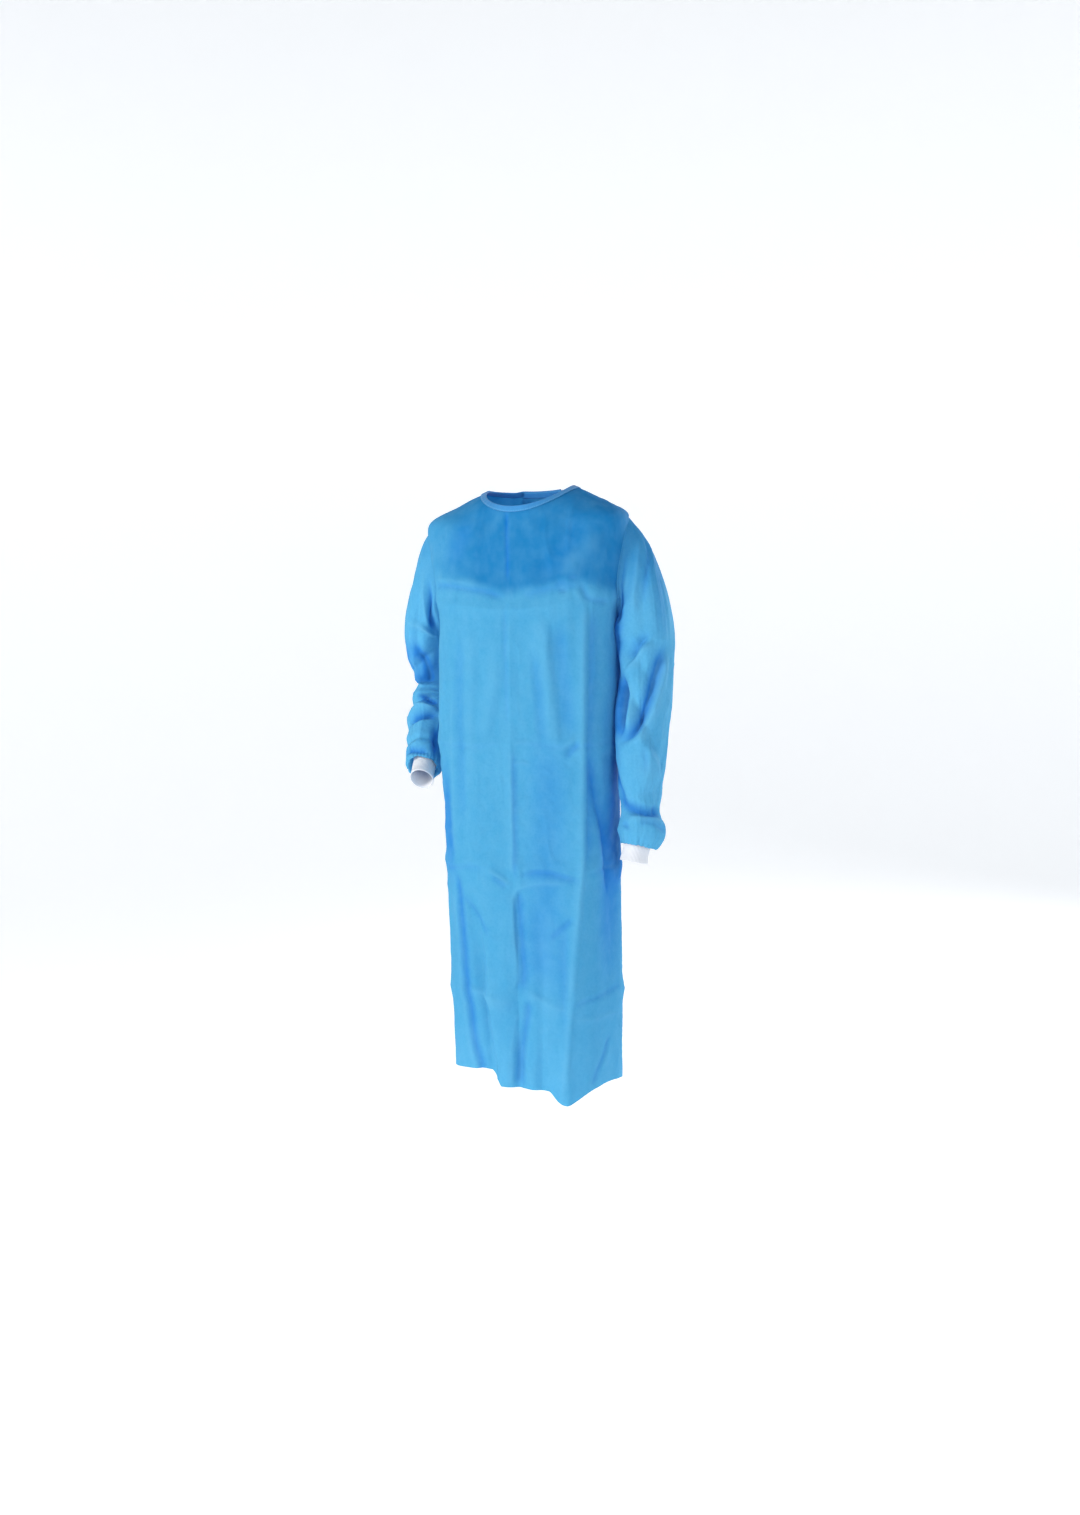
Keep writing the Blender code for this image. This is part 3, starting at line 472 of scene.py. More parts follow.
def crease_relief(creases, across, up, laid=metres):
    """How far the creases stand out at places on the cloth, and marks for the cloth's colour.

    The marks say where it is pressed pale, where painted shade lies in its hollows and in shadows, and
    where a painted highlight lies on the ridges that stand up.
    """
    out = np.zeros(across.shape)
    marks = {mark: np.zeros(across.shape) for mark in ("pressed", "folded", "raised")}
    for crease in creases:
        path = smooth_path(laid(crease.path))
        height, one_side, other_side, fade = metres(
            [crease.out, crease.one_side, crease.other_side, crease.fade]
        )
        reach = max(one_side, other_side)
        low, high = path.min(axis=0) - reach, path.max(axis=0) + reach
        near = (across > low[0]) & (across < high[0]) & (up > low[1]) & (up < high[1])
        if not near.any():
            continue
        place = np.stack([across[near], up[near]], axis=-1)[:, None]
        start, run = path[:-1], np.diff(path, axis=0)
        length = np.linalg.norm(run, axis=1)
        off = place - start
        part = np.clip((off * run).sum(-1) / length**2, 0.0, 1.0)
        off = off - part[..., None] * run
        away = np.linalg.norm(off, axis=-1)
        nearest = away.argmin(axis=1)
        rows = np.arange(len(nearest))
        side = run[nearest, 0] * off[rows, nearest, 1] - run[nearest, 1] * off[rows, nearest, 0]
        along = (np.cumsum(length) - length)[nearest] + part[rows, nearest] * length[nearest]
        ends = smooth(np.minimum(along, length.sum() - along) / fade + 0.08)
        half = np.where(side > 0, one_side, other_side)
        rounded = np.sqrt(away[rows, nearest] ** 2 + CREASE_ROUND**2) - CREASE_ROUND
        profile = ends * hill(rounded, half, crease.sharp)
        out[near] += height * profile
        # Painted shade: as deep as the crease sinks in, or as much as its dark asks; a raised crease gets
        # a painted highlight
        dark = -height / DARK_DEPTH if crease.dark is None else crease.dark
        marks["folded"][near] += max(dark, 0.0) / 2 * profile
        marks["raised"][near] += max(height, 0.0) / PALE_HEIGHT * profile
        if crease.sharp < PRESSED_SHARP:
            line = hill(away[rows, nearest], np.minimum(half, PRESSED_HALF), 1.5)
            marks["pressed"][near] += ends * line
    return out, marks


Patch = namedtuple("Patch", "name out wide tall crisp")
PATCHES = (
    Patch("long swell", 0.0016, 0.055, 0.120, False),
    Patch("short swell", 0.0011, 0.028, 0.050, False),
    Patch("crisp break", 0.0013, 0.045, 0.080, True),
    Patch("small dimple", 0.00036, 0.009, 0.014, False),
)
BREAK_STEEPNESS = 2.2
CRUMPLE_CELLS, CRUMPLE_START = 97, (40.0, 90.0)


def crumple(across, up, wide, tall, seed):
    """Uneven hollows and swells of the cloth between -1 and 1, patches so wide and so tall."""
    cells = CRUMPLE_CELLS
    table = np.random.RandomState(seed).uniform(-1.0, 1.0, (cells, cells))
    x, y = across / wide + CRUMPLE_START[0], up / tall + CRUMPLE_START[1]
    column, row = np.floor(x).astype(int), np.floor(y).astype(int)
    right, above = smooth(x - column), smooth(y - row)
    low, high = (
        table[line % cells, column % cells] * (1 - right)
        + table[line % cells, (column + 1) % cells] * right
        for line in (row, row + 1)
    )
    return low * (1 - above) + high * above


def stiff_crumple(across, up, seed):
    """Soft swells with a few crisp breaks between them, in metres."""
    swell = 0.0
    for turn, patch in enumerate(PATCHES):
        uneven = crumple(across, up, patch.wide, patch.tall, seed + turn)
        if patch.crisp:
            uneven = np.clip(1 - np.abs(uneven) * BREAK_STEEPNESS, 0.0, 1.0) ** 2
        swell = swell + patch.out * uneven
    return swell


def make_piece(name, points, faces, flat, marks):
    """Makes a piece's mesh, with the flat place of each face's corner and its painted marks."""
    mesh = bpy.data.meshes.new(name)
    mesh.from_pydata(points, [], faces)
    mesh.uv_layers.new(name="cloth").data.foreach_set("uv", flat.reshape(-1).astype(np.float32))
    for mark, values in marks.items():
        painted = mesh.attributes.new(mark, "FLOAT", "POINT")
        painted.data.foreach_set("value", np.clip(values, 0.0, 1.0).reshape(-1).astype(np.float32))
    mesh.shade_smooth()
    piece = bpy.data.objects.new(name, mesh)
    bpy.context.scene.collection.objects.link(piece)
    return piece


def cloth_piece(name, grid, across, up, marks, closed=False, ends="open"):
    """Makes one sheet of cloth from rows of points, with its flat places kept for the weave.

    Closed joins each row's end to its start. The first and last rows are left open, capped, or
    joined to each other.
    """
    if ends == "joined":
        grid, across, up = (np.concatenate([part, part[:1]]) for part in (grid, across, up))
    rows, columns = grid.shape[:2]
    last = columns if closed else columns - 1
    row, column = np.meshgrid(np.arange(rows - 1), np.arange(last), indexing="ij")
    beside = (column + 1) % columns
    corners = ((row, column), (row, beside), (row + 1, beside), (row + 1, column))
    faces = np.stack([r * columns + c for r, c in corners], axis=-1).reshape(-1, 4)
    if ends == "joined":
        faces = faces % ((rows - 1) * columns)
        grid = grid[:-1]
    faces = [tuple(face) for face in faces]
    if closed:
        width = across[:, -1:] + (across[:, -1:] - across[:, -2:-1])
        across, up = np.hstack([across, width]), np.hstack([up, up[:, :1]])
    places = np.stack([across, up], axis=-1)
    corners = ((row, column), (row, column + 1), (row + 1, column + 1), (row + 1, column))
    flat = np.stack([places[r, c] for r, c in corners], axis=2).reshape(-1, 2)
    if ends == "capped":
        faces += [tuple(range(columns))[::-1], tuple(range((rows - 1) * columns, rows * columns))]
        flat = np.concatenate([flat, places[0, columns - 1 :: -1], places[-1, :columns]])
    return make_piece(name, grid.reshape(-1, 3), faces, flat, marks)


def across_cloth(grid, middle):
    """How far each point lies across its row from the middle column, along the cloth."""
    steps = np.linalg.norm(np.diff(grid, axis=1), axis=-1)
    run = np.concatenate([np.zeros((len(grid), 1)), np.cumsum(steps, axis=1)], axis=1)
    return run - run[:, middle : middle + 1]


ROLL_DEPTH, ROLL_REACH = 0.0004, 0.0026
PUCKER_HEIGHT, PUCKER_STEP, PUCKER_REACH, PUCKER_PATCH = 0.0003, 0.0021, 0.007, 0.02


def seam_roll(from_edge, along_edge, seed):
    """The cloth turns in at a seam, with small puckers beside the stitches."""
    uneven = crumple(along_edge, along_edge, PUCKER_PATCH, PUCKER_PATCH, seed)
    pucker = np.sin(along_edge / PUCKER_STEP + 3 * uneven)
    near = np.exp(-((from_edge / PUCKER_REACH) ** 2)) * smooth((from_edge - 0.0005) / 0.0025)
    roll = np.exp(-((from_edge / ROLL_REACH) ** 2))
    return -ROLL_DEPTH * roll + PUCKER_HEIGHT * pucker * near


ARMHOLE_RUN, YOKE_RUN = 0.19, 0.11


def fine_levels(step):
    """Levels a step apart up the body, closer together at the underarm, where the armhole turns."""
    heights = [(ring.side_z + ring.front_z) / 2 for ring in RINGS]
    lift = [abs(b - a) for a, b in zip(heights, heights[1:])]
    levels = []
    for low in range(int(UNDERARM)):
        levels += list(np.linspace(low, low + 1, max(3, round(lift[low] / step)) + 1)[:-1])
    count = round(ARMHOLE_RUN / step)
    turned = 0.5 - 0.5 * np.cos(np.linspace(0, np.pi, count + 1)[:-1])
    levels += list(UNDERARM + (SHOULDER_TIP - UNDERARM) * turned)
    levels += list(np.linspace(SHOULDER_TIP, len(RINGS) - 1, round(YOKE_RUN / step) + 1))
    return np.array(levels)


# The shoulders are rounder than the seam line, and the top of each sleeve stands out full below it
Ease = namedtuple("Ease", "name place toward out reach")
SHOULDER_EASES = (
    Ease("left shoulder tip", (0.192, 0.0, -0.046), (0.70, 0.0, 0.70), -0.0070, 0.026),
    Ease("left sleeve top", (0.236, 0.0, -0.137), (0.85, 0.0, 0.50), 0.0050, 0.045),
    Ease("right shoulder tip", (-0.192, 0.0, -0.040), (-0.70, 0.0, 0.70), -0.0060, 0.024),
    Ease("right sleeve top", (-0.216, 0.0, -0.090), (-0.85, 0.0, 0.50), 0.0110, 0.036),
)


def shouldered(points):
    """Moves the cloth round the shoulders, the same for each piece that meets there."""
    moved = points.copy()
    for ease in SHOULDER_EASES:
        off = (points - np.array(ease.place)) / ease.reach * np.array([1.0, 0.55, 1.0])
        share = np.exp(-0.5 * (off**2).sum(axis=-1))[..., None]
        moved = moved + ease.out * share * np.array(ease.toward)
    return moved


# The lower edge of the cloth that lies on the chest, where its painted shade ends: how far across, and at
# what height
CHEST_LINE = (
    (-0.19, -0.12, -0.06, -0.01, 0.06, 0.13, 0.19),
    (-0.182, -0.184, -0.194, -0.208, -0.198, -0.186, -0.212),
)
CHEST_WAVE, CHEST_BLUR, CHEST_BLUR_LESS = 0.004, 0.050, 0.020
RIGHT_SIDE_SHARE, BEHIND_LESS = 0.40, 0.45


def painted_body_shade(points):
    """Painted shade where the cloth lies on the chest and the shoulders, standing in for the light that
    cannot come through it there.

    The mark is fainter and softer at the right side of the front, and a little fainter behind.
    """
    across, behind, up = np.moveaxis(points, -1, 0)
    edge = np.interp(across, *CHEST_LINE) + CHEST_WAVE * crumple(across, behind * 0, 0.03, 1.0, 97)
    full = np.maximum(smooth((across + 0.190) / 0.14), smooth(behind / 0.04))
    mark = smooth((up - edge + 0.006) / (CHEST_BLUR - CHEST_BLUR_LESS * full))
    mark = mark * (RIGHT_SIDE_SHARE + (1 - RIGHT_SIDE_SHARE) * full)
    return mark * (1 - BEHIND_LESS * smooth(behind / 0.07))


# Front panel
# One wide piece from side seam to side seam, cut round the neck and the armholes, with a raw cut hem.
# It was pressed flat into a packet, and it hangs from the chest in long flat faces.

CLOTH_STEP = 0.003
FREE_FRONT, FRONT_COLUMNS = 60.0, 187
WALL = 0.0012
HALF_WALL = WALL / 2
WAIST_TOP, WAIST_FOOT, WAIST_PUCKER = -0.44, -0.76, 0.0006
PACKED_DENT, PACKED_LINE, PACKED_PALE = 0.0007, 0.006, 0.55
SKIRT_TOP, SKIRT_PAINTED_LIGHT = -0.96, 0.30
SIDE_CALM, NECK_CALM = 0.016, 0.6
FRONT_CREASES = (
    Crease("neck centre fold", -2, 9, 5, 1.7, ((-18, -40), (-13, -84), (-10, -129), (-9, -182)),
        dark=0.75),
    Crease("chest centre fold", -1.6, 9, 6, 1.3, ((-12, -210), (-12, -285), (-10, -350), (-8, -450)), 50,
        dark=0.22),
    Crease("waist centre fold", 2.8, 12, 30, 1.4, ((-1, -470), (-2, -577), (-3, -651), (-5, -715))),
    Crease("waist centre shade", -1.2, 12, 4, 1.5, ((4, -480), (3, -577), (2, -651), (-1, -730)), 40,
        dark=0.5),
    Crease("centre trough", -6.2, 21, 9, 1.4, ((16, -744), (7, -754), (2, -772), (2, -800), (3, -850),
        (6, -890), (4, -915), (-4, -936)), dark=0.65),
    Crease("centre soft hollow", -3, 40, 36, 2, ((50, -760), (36, -800), (34, -860), (32, -915)), 50,
        dark=0.15),
    Crease("centre trough edge", 3, 6, 18, 1.3, ((105, -730), (70, -728), (40, -731), (10, -740),
        (-5, -755), (-9, -785), (-9, -838), (-4, -892), (-6, -927))),
    Crease("hem centre trough", -5.2, 16, 10, 1.4, ((22, -940), (13, -975), (5, -1010), (-2, -1050),
        (-6, -1120)), dark=0.6),
    Crease("hem centre edge", 1.6, 6, 16, 1.4, ((-4, -965), (-13, -1006), (-18, -1044), (-20, -1120))),
    Crease("far soft hollow", -3.4, 24, 26, 2, ((-90, -770), (-84, -850), (-79, -930), (-70, -1010),
        (-54, -1090), (-50, -1120)), 50, dark=0),
    # The next three have no height: they are painted shade, the shadows that the arms and hands cast on
    # the body's sides
    Crease("far side shade", 0, 20, 62, 2, ((-152, -490), (-150, -560), (-149, -620), (-147, -660),
        (-142, -760)), 120, dark=0.8),
    Crease("near side shade", 0, 54, 44, 1.4, ((238, -420), (240, -560), (240, -640), (236, -760)), 90,
        dark=1.5),
    Crease("near side soft shade", 0, 75, 60, 2, ((214, -480), (212, -640), (206, -780), (198, -960)),
        200, dark=0.75),
    Crease("far ridge rub", -1.2, 8, 8, 1.4, ((-88, -790), (-80, -905), (-76, -986), (-56, -1070)),
        dark=0),
    # No height either: painted shade over the front's near half, which faces away from the main light
    Crease("near half shade", 0, 62, 62, 2, ((70, -440), (68, -600), (60, -750), (56, -960)), 100,
        dark=0.36),
    Crease("shoulder hollow", -5.5, 34, 36, 2, ((98, -48), (117, -86), (104, -125), (70, -158),
        (36, -177)), 50, dark=0.15),
    Crease("shoulder swell", 4.5, 32, 30, 2, ((178, -86), (148, -120), (117, -150), (86, -172)), 50),
    Crease("far shoulder swell", 3.5, 30, 34, 2, ((-190, -92), (-182, -130), (-176, -168)), 50),
    Crease("far shoulder hollow", -3, 30, 34, 2, ((-90, -50), (-104, -86), (-120, -125), (-128, -160)),
        50),
    Crease("chest crease left", -4.4, 5, 12, 1.4, ((-190, -180), (-141, -181), (-94, -187), (-51, -194),
        (-11, -207))),
    Crease("chest ridge left", 2.2, 10, 7, 1.5, ((-175, -171), (-138, -173), (-94, -178), (-50, -185))),
    Crease("chest crease right", -3, 7, 14, 1.4, ((20, -203), (57, -195), (97, -188), (132, -183)), 20),
    Crease("chest pucker", -3.2, 9, 10, 1.5, ((124, -180), (137, -190), (147, -207), (165, -213),
        (196, -215)), 20),
    Crease("chest pucker ridge", 2.2, 9, 7, 1.5, ((118, -190), (129, -203), (137, -218)), 20),
    Crease("small pucker", -3.6, 5, 5, 1.5, ((86, -182), (109, -180)), 8),
    Crease("small pucker below", -3.4, 5, 5, 1.5, ((90, -194), (112, -195)), 8),
    Crease("small pucker right", -3.2, 5, 5, 1.5, ((108, -170), (130, -172)), 8),
    Crease("side ridge", 4, 10, 14, 1.4, ((141, -205), (138, -302), (137, -392), (135, -501), (132, -611),
        (131, -699), (123, -762), (120, -800)), 50),
    Crease("side ridge low", 3.6, 10, 14, 1.4, ((124, -760), (118, -800), (110, -867), (103, -940),
        (96, -1033), (94, -1145)), 50),
    Crease("side ridge valley", -2.2, 10, 16, 1.5, ((98, -790), (94, -830), (92, -867), (90, -940),
        (87, -1000)), 50),
    Crease("chest soft fold", 4.4, 16, 26, 2, ((60, -222), (66, -302), (75, -375), (83, -448),
        (88, -505)), 60),
    Crease("chest soft trough", -3.4, 24, 22, 2, ((90, -240), (98, -330), (107, -420), (112, -475)), 60,
        dark=0.35),
    Crease("waist pucker", -4.2, 8, 9, 1.5, ((132, -466), (117, -485), (102, -499)), 15),
    Crease("waist pucker ridge", 3.2, 8, 10, 1.5, ((124, -458), (108, -474), (92, -486)), 15),
    Crease("far soft fold", 4, 20, 24, 2, ((-28, -320), (-36, -375), (-45, -423), (-57, -478)), 50),
    Crease("mid fold", -2, 18, 14, 2, ((44, -300), (50, -345), (55, -400), (62, -485)), 50, dark=0.28),
    Crease("side plane edge", -1.8, 24, 8, 1.5, ((155, -220), (152, -300), (150, -390), (147, -500),
        (144, -620), (142, -700)), 50, dark=0.52),
    Crease("far long fold", 2.6, 18, 20, 2, ((-84, -240), (-80, -330), (-86, -440), (-82, -560)), 80),
    Crease("far long trough", -2.2, 16, 18, 2, ((-104, -260), (-108, -380), (-106, -500), (-110, -640)),
        80),
    Crease("side plane trough", -6, 22, 20, 1.8, ((150, -490), (155, -525), (165, -577), (181, -631),
        (195, -700), (200, -760)), 50),
    Crease("waist crease left", -1.1, 6, 10, 1.4, ((-185, -478), (-120, -481), (-64, -480), (-20, -470))),
    Crease("waist crease right", -1.3, 6, 10, 1.4, ((0, -468), (56, -475), (122, -478), (199, -470),
        (245, -474))),
    Crease("waist small mark", 2.2, 6, 7, 1.5, ((4, -474), (26, -471), (46, -475)), 12),
    Crease("waist small mark below", 2.2, 6, 7, 1.5, ((2, -512), (22, -508), (40, -514)), 12),
    Crease("knee arc", -3.8, 6, 12, 1.3, ((8, -720), (35, -710), (65, -709), (97, -716), (132, -724))),
    Crease("knee streak", 4, 8, 8, 1.5, ((-56, -708), (-31, -720), (-10, -736)), 15),
    Crease("knee streak below", -3.2, 6, 10, 1.5, ((-48, -720), (-30, -731), (-16, -742)), 12),
    Crease("knee crease left", -2.2, 6, 12, 1.4, ((-200, -706), (-150, -712), (-92, -705), (-58, -710))),
    Crease("knee crease right", -2, 6, 12, 1.4, ((140, -712), (190, -703), (250, -706))),
    Crease("far side fold", -5, 18, 8, 1.3, ((-131, -715), (-129, -750), (-127, -800), (-126, -860),
        (-124, -914), (-117, -968), (-110, -1031), (-104, -1076), (-100, -1120)), 40, dark=0.85),
    Crease("far side fold edge", 2.6, 10, 16, 1.4, ((-139, -760), (-134, -860), (-131, -930),
        (-121, -1000), (-112, -1070), (-108, -1120)), 40),
    Crease("far diagonal", -3.2, 12, 8, 1.5, ((-118, -760), (-96, -785), (-78, -808), (-58, -836)), 20),
    Crease("near diagonal", -3.4, 10, 8, 1.5, ((64, -834), (91, -808), (114, -790)), 20),
    Crease("hem diagonal", -4.2, 7, 14, 1.4, ((206, -1016), (199, -1030), (189, -1055), (176, -1076),
        (160, -1110)), 20, dark=0.55),
    Crease("shin ridge left", 4.2, 12, 26, 1.5, ((-122, -934), (-79, -946), (-40, -953), (-6, -955))),
    Crease("shin ridge middle", 4, 11, 24, 1.5, ((18, -930), (51, -948), (77, -957), (99, -963)), 20),
    Crease("shin ridge right", 3.2, 10, 14, 1.5, ((102, -974), (143, -979), (195, -978), (250, -982))),
    Crease("shin valley right", -2.6, 8, 10, 1.5, ((104, -951), (144, -942), (183, -936), (250, -929))),
    Crease("left strip edge", 1.6, 10, 10, 1.5, ((-127, -380), (-128, -509), (-129, -621), (-130, -700)),
        50),
    Crease("lower left swell", 3, 34, 40, 2, ((-60, -860), (-58, -960), (-56, -1080)), 80),
    Crease("lower right swell", 3, 30, 26, 2, ((56, -760), (58, -860), (55, -980), (50, -1090)), 80),
)


def lying(angle, level):
    """A panel that lies straight on the body's form, with nothing under it."""
    return np.zeros(angle.shape)


def pressed_panel(angles, levels, lift, creases, middle_angle, seed):
    """Lays out one panel and presses its creases in.

    Gives its points, the ways out from them, their places on the cloth, how far the creases stand
    out, the marks for the cloth's colour and how far each point is from the panel's sides.
    """
    level_grid = np.broadcast_to(levels[:, None], angles.shape)
    grid = raised(angles, level_grid, lift(angles, level_grid))
    across = across_cloth(grid, int(np.abs(angles[0] - middle_angle).argmin()))
    if middle_angle == BACK:
        across = -across
    up = grid[..., 2]
    out, marks = crease_relief(creases, across, up)
    out = out + stiff_crumple(across, up, seed)
    puckered = smooth((WAIST_TOP - up) / 0.05) * smooth((up - WAIST_FOOT) / 0.06)
    out = out + WAIST_PUCKER * puckered * crumple(across, up, 0.011, 0.009, seed + 4)
    for packed in PACKED:
        wave = packed.height + 0.004 * crumple(across, up * 0, 0.06, 1.0, seed + 5)
        broken = 0.55 + 0.45 * crumple(across, up, 0.05, 0.3, seed + 6)
        line = hill(up - wave, PACKED_LINE, 1.4) * broken
        out = out - PACKED_DENT * line
        marks["pressed"] = marks["pressed"] + PACKED_PALE * line
    # Painted light: the skirt is painted paler towards the hem
    marks["raised"] = marks["raised"] + SKIRT_PAINTED_LIGHT * smooth((SKIRT_TOP - up) / 0.14)
    edge = np.minimum(np.abs(across - across[:, :1]), np.abs(across - across[:, -1:]))
    calm = smooth(edge / SIDE_CALM) * smooth((len(RINGS) - 1.0 - level_grid) / NECK_CALM)
    return grid, body_normal(angles, level_grid), across, up, out * calm, marks, edge


def put_on(piece, material, node):
    """Gives a piece its material, puts it in the place of its solid and makes it hang with the rest."""
    piece.data.materials.append(material)
    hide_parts(node)
    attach(piece, "root")


def hung_panel(node, grid, facing, across, up, out, marks):
    points = shouldered(grid + facing * (out - HALF_WALL)[..., None])
    # Painted shade where the panel lies on the chest and the shoulders
    marks["on_body_shade"] = painted_body_shade(points)
    panel = cloth_piece(f"{node}_cloth", points, across, up, marks)
    put_on(panel, gown_cloth, node)
    return panel


panel_levels = fine_levels(CLOTH_STEP)
front_side = 90.0 + SIDE_SEAM
front_offsets = np.linspace(-front_side, front_side, FRONT_COLUMNS)
front_angles = FRONT + squeezed(front_offsets, FREE_FRONT, front_side, panel_levels[:, None])
grid, facing, across, up, out, marks, edge = pressed_panel(
    front_angles, panel_levels, lying, FRONT_CREASES, FRONT, 11
)
out = out + seam_roll(edge, up, 21)
front_panel = hung_panel("front_panel", grid, facing, across, up, out, marks)


# Back panels
# Two backs, each as long as the front, from the side seams past the middle. The right one laps over
# the left one, and the waist ties draw both in a little.

BACK_LAP, LAP_LIFT, LAP_RAMP, LAP_FLARE = 32.0, 0.0058, 14.0, 0.010
FREE_BACK, BACK_COLUMNS = 40.0, 118
TIE_HEIGHT, TIE_WIDTH = -0.4885, 0.023
CINCH_DEPTH, CINCH_HALF, CINCH_EDGE = 0.0016, 0.020, 0.02


def lap_lift(angle, level):
    """How far the right back stands over the left one, which it laps."""
    past = apart(angle, BACK) - BACK_LAP
    flare = LAP_FLARE * smooth(1 - level / 3.5) * smooth(-past / (2 * BACK_LAP))
    return LAP_LIFT * (1 - smooth(past / LAP_RAMP)) + flare


BACK_CREASES = {
    "left": (
        Crease("shoulder drag", -4, 16, 20, 1.8, ((185, -110), (150, -150), (120, -200), (104, -260)),
            40),
        Crease("shoulder drag ridge", 3.5, 18, 14, 1.8, ((170, -85), (132, -130), (100, -185),
            (82, -250)), 40),
        Crease("blade fold", 3, 20, 20, 2, ((140, -230), (136, -320), (124, -420)), 60),
        Crease("packed fold", 2.2, 9, 11, 1.3, ((118, -60), (118, -250), (116, -460), (120, -700),
            (118, -1110)), 50),
        Crease("waist gather", -4.5, 10, 12, 1.7, ((150, -430), (147, -488), (154, -560))),
        Crease("waist gather inner", -4, 10, 10, 1.7, ((95, -440), (92, -488), (98, -550))),
        Crease("waist gather ridge", 3.5, 11, 11, 1.7, ((122, -425), (120, -488), (126, -575))),
        Crease("hip drag", -3.4, 14, 18, 1.8, ((205, -500), (176, -560), (160, -650), (156, -760)), 40),
        Crease("skirt fold", 5, 22, 30, 1.7, ((128, -560), (132, -720), (140, -900), (146, -1115)), 100),
        Crease("skirt trough", -5, 24, 20, 1.8, ((176, -600), (182, -760), (188, -940), (192, -1115)),
            100),
    ),
    "right": (
        Crease("shoulder drag", -4.2, 20, 16, 1.8, ((-185, -112), (-152, -152), (-124, -205),
            (-108, -270)), 40),
        Crease("shoulder drag ridge", 3.5, 14, 18, 1.8, ((-168, -88), (-130, -132), (-98, -190),
            (-80, -258)), 40),
        Crease("centre packed fold", 2, 9, 11, 1.3, ((4, -60), (3, -250), (1, -440)), 50),
        Crease("centre packed fold low", 2.2, 9, 11, 1.3, ((4, -700), (6, -850), (6, -1115)), 50),
        Crease("packed fold", 2.4, 11, 9, 1.3, ((-120, -60), (-121, -250), (-118, -460), (-122, -700),
            (-120, -1110)), 50),
        Crease("waist gather", -4.5, 10, 12, 1.7, ((-62, -430), (-60, -488), (-68, -570))),
        Crease("waist gather ridge", 3.6, 11, 12, 1.7, ((-36, -420), (-34, -488), (-38, -585))),
        Crease("waist gather outer", -4.2, 12, 12, 1.7, ((-142, -425), (-140, -488), (-150, -560))),
        Crease("waist gather outer ridge", 3.4, 11, 11, 1.7, ((-108, -430), (-106, -488), (-112, -570))),
        Crease("bow gather left", -3, 9, 10, 1.7, ((46, -430), (44, -488), (50, -560))),
        Crease("waist drag", 3, 16, 14, 1.8, ((-16, -470), (-50, -420), (-78, -360), (-94, -290)), 40),
        Crease("hip drag", -3.6, 18, 14, 1.8, ((-204, -500), (-178, -570), (-164, -660), (-160, -780)),
            40),
        Crease("skirt fold", 5.2, 30, 22, 1.7, ((-126, -560), (-132, -720), (-142, -900), (-150, -1115)),
            100),
        Crease("skirt trough", -5, 22, 26, 1.8, ((-80, -600), (-84, -760), (-88, -940), (-90, -1115)),
            100),
        Crease("lap soft fold", 4.2, 24, 20, 1.9, ((48, -620), (52, -780), (60, -950), (64, -1115)), 100),
    ),
}
back_side = 90.0 - SIDE_SEAM
back_offsets = np.linspace(-BACK_LAP, back_side, BACK_COLUMNS)
back_turns = squeezed(back_offsets, FREE_BACK, back_side, panel_levels[:, None])
for side_name, angles, lift, seam, seed in (
    ("left", BACK - back_turns[:, ::-1], lying, slice(0, 1), 31),
    ("right", BACK + back_turns, lap_lift, slice(-1, None), 41),
):
    grid, facing, across, up, out, marks, edge = pressed_panel(
        angles, panel_levels, lift, BACK_CREASES[side_name], BACK, seed
    )
    cinch = np.exp(-(((up - TIE_HEIGHT) / CINCH_HALF) ** 2))
    out = out - CINCH_DEPTH * cinch * smooth(edge / CINCH_EDGE)
    out = out + seam_roll(np.abs(across - across[:, seam]), up, seed + 9)
    back_panel = hung_panel(f"back_panel_{side_name}", grid, facing, across, up, out, marks)


# Sleeves
# Each sleeve is one piece of cloth, sewn along the underside, eased into the armhole and gathered on
# to its cuff, over which it blouses. The left arm hangs and the right one is bent at the elbow.

Section = namedtuple("Section", "name x y z half_side half_depth")
SLEEVES = {
    "left": (
        Section("upper arm", 0.2275, 0.022, -0.290, 0.046, 0.064),
        Section("above elbow", 0.2275, 0.012, -0.350, 0.046, 0.063),
        Section("elbow", 0.2275, 0.002, -0.410, 0.046, 0.061),
        Section("forearm", 0.227, -0.010, -0.480, 0.043, 0.058),
        Section("mid forearm", 0.227, -0.023, -0.545, 0.040, 0.053),
        Section("lower forearm", 0.229, -0.035, -0.594, 0.034, 0.043),
        Section("blouse", 0.2335, -0.044, -0.630, 0.044, 0.047),
        Section("blouse foot", 0.232, -0.048, -0.653, 0.036, 0.041),
        Section("turn", 0.230, -0.049, -0.659, 0.031, 0.035),
        Section("cuff seam", 0.228, -0.047, -0.647, 0.0265, 0.031),
    ),
    "right": (
        Section("upper arm", -0.230, 0.055, -0.280, 0.048, 0.064),
        Section("above elbow", -0.233, 0.078, -0.330, 0.047, 0.063),
        Section("elbow", -0.233, 0.092, -0.380, 0.047, 0.060),
        Section("forearm", -0.230, 0.073, -0.427, 0.045, 0.056),
        Section("mid forearm", -0.227, 0.042, -0.465, 0.043, 0.052),
        Section("lower forearm", -0.221, 0.013, -0.493, 0.038, 0.045),
        Section("blouse", -0.216, -0.008, -0.514, 0.036, 0.043),
        Section("blouse foot", -0.213, -0.022, -0.528, 0.033, 0.038),
        Section("turn", -0.212, -0.0255, -0.5305, 0.028, 0.033),
        Section("cuff seam", -0.212, -0.016, -0.521, 0.0235, 0.028),
    ),
}
SIGN = {"left": 1.0, "right": -1.0}
STRAIGHT_FROM, LAST_SECTION = 7.0, 9.0
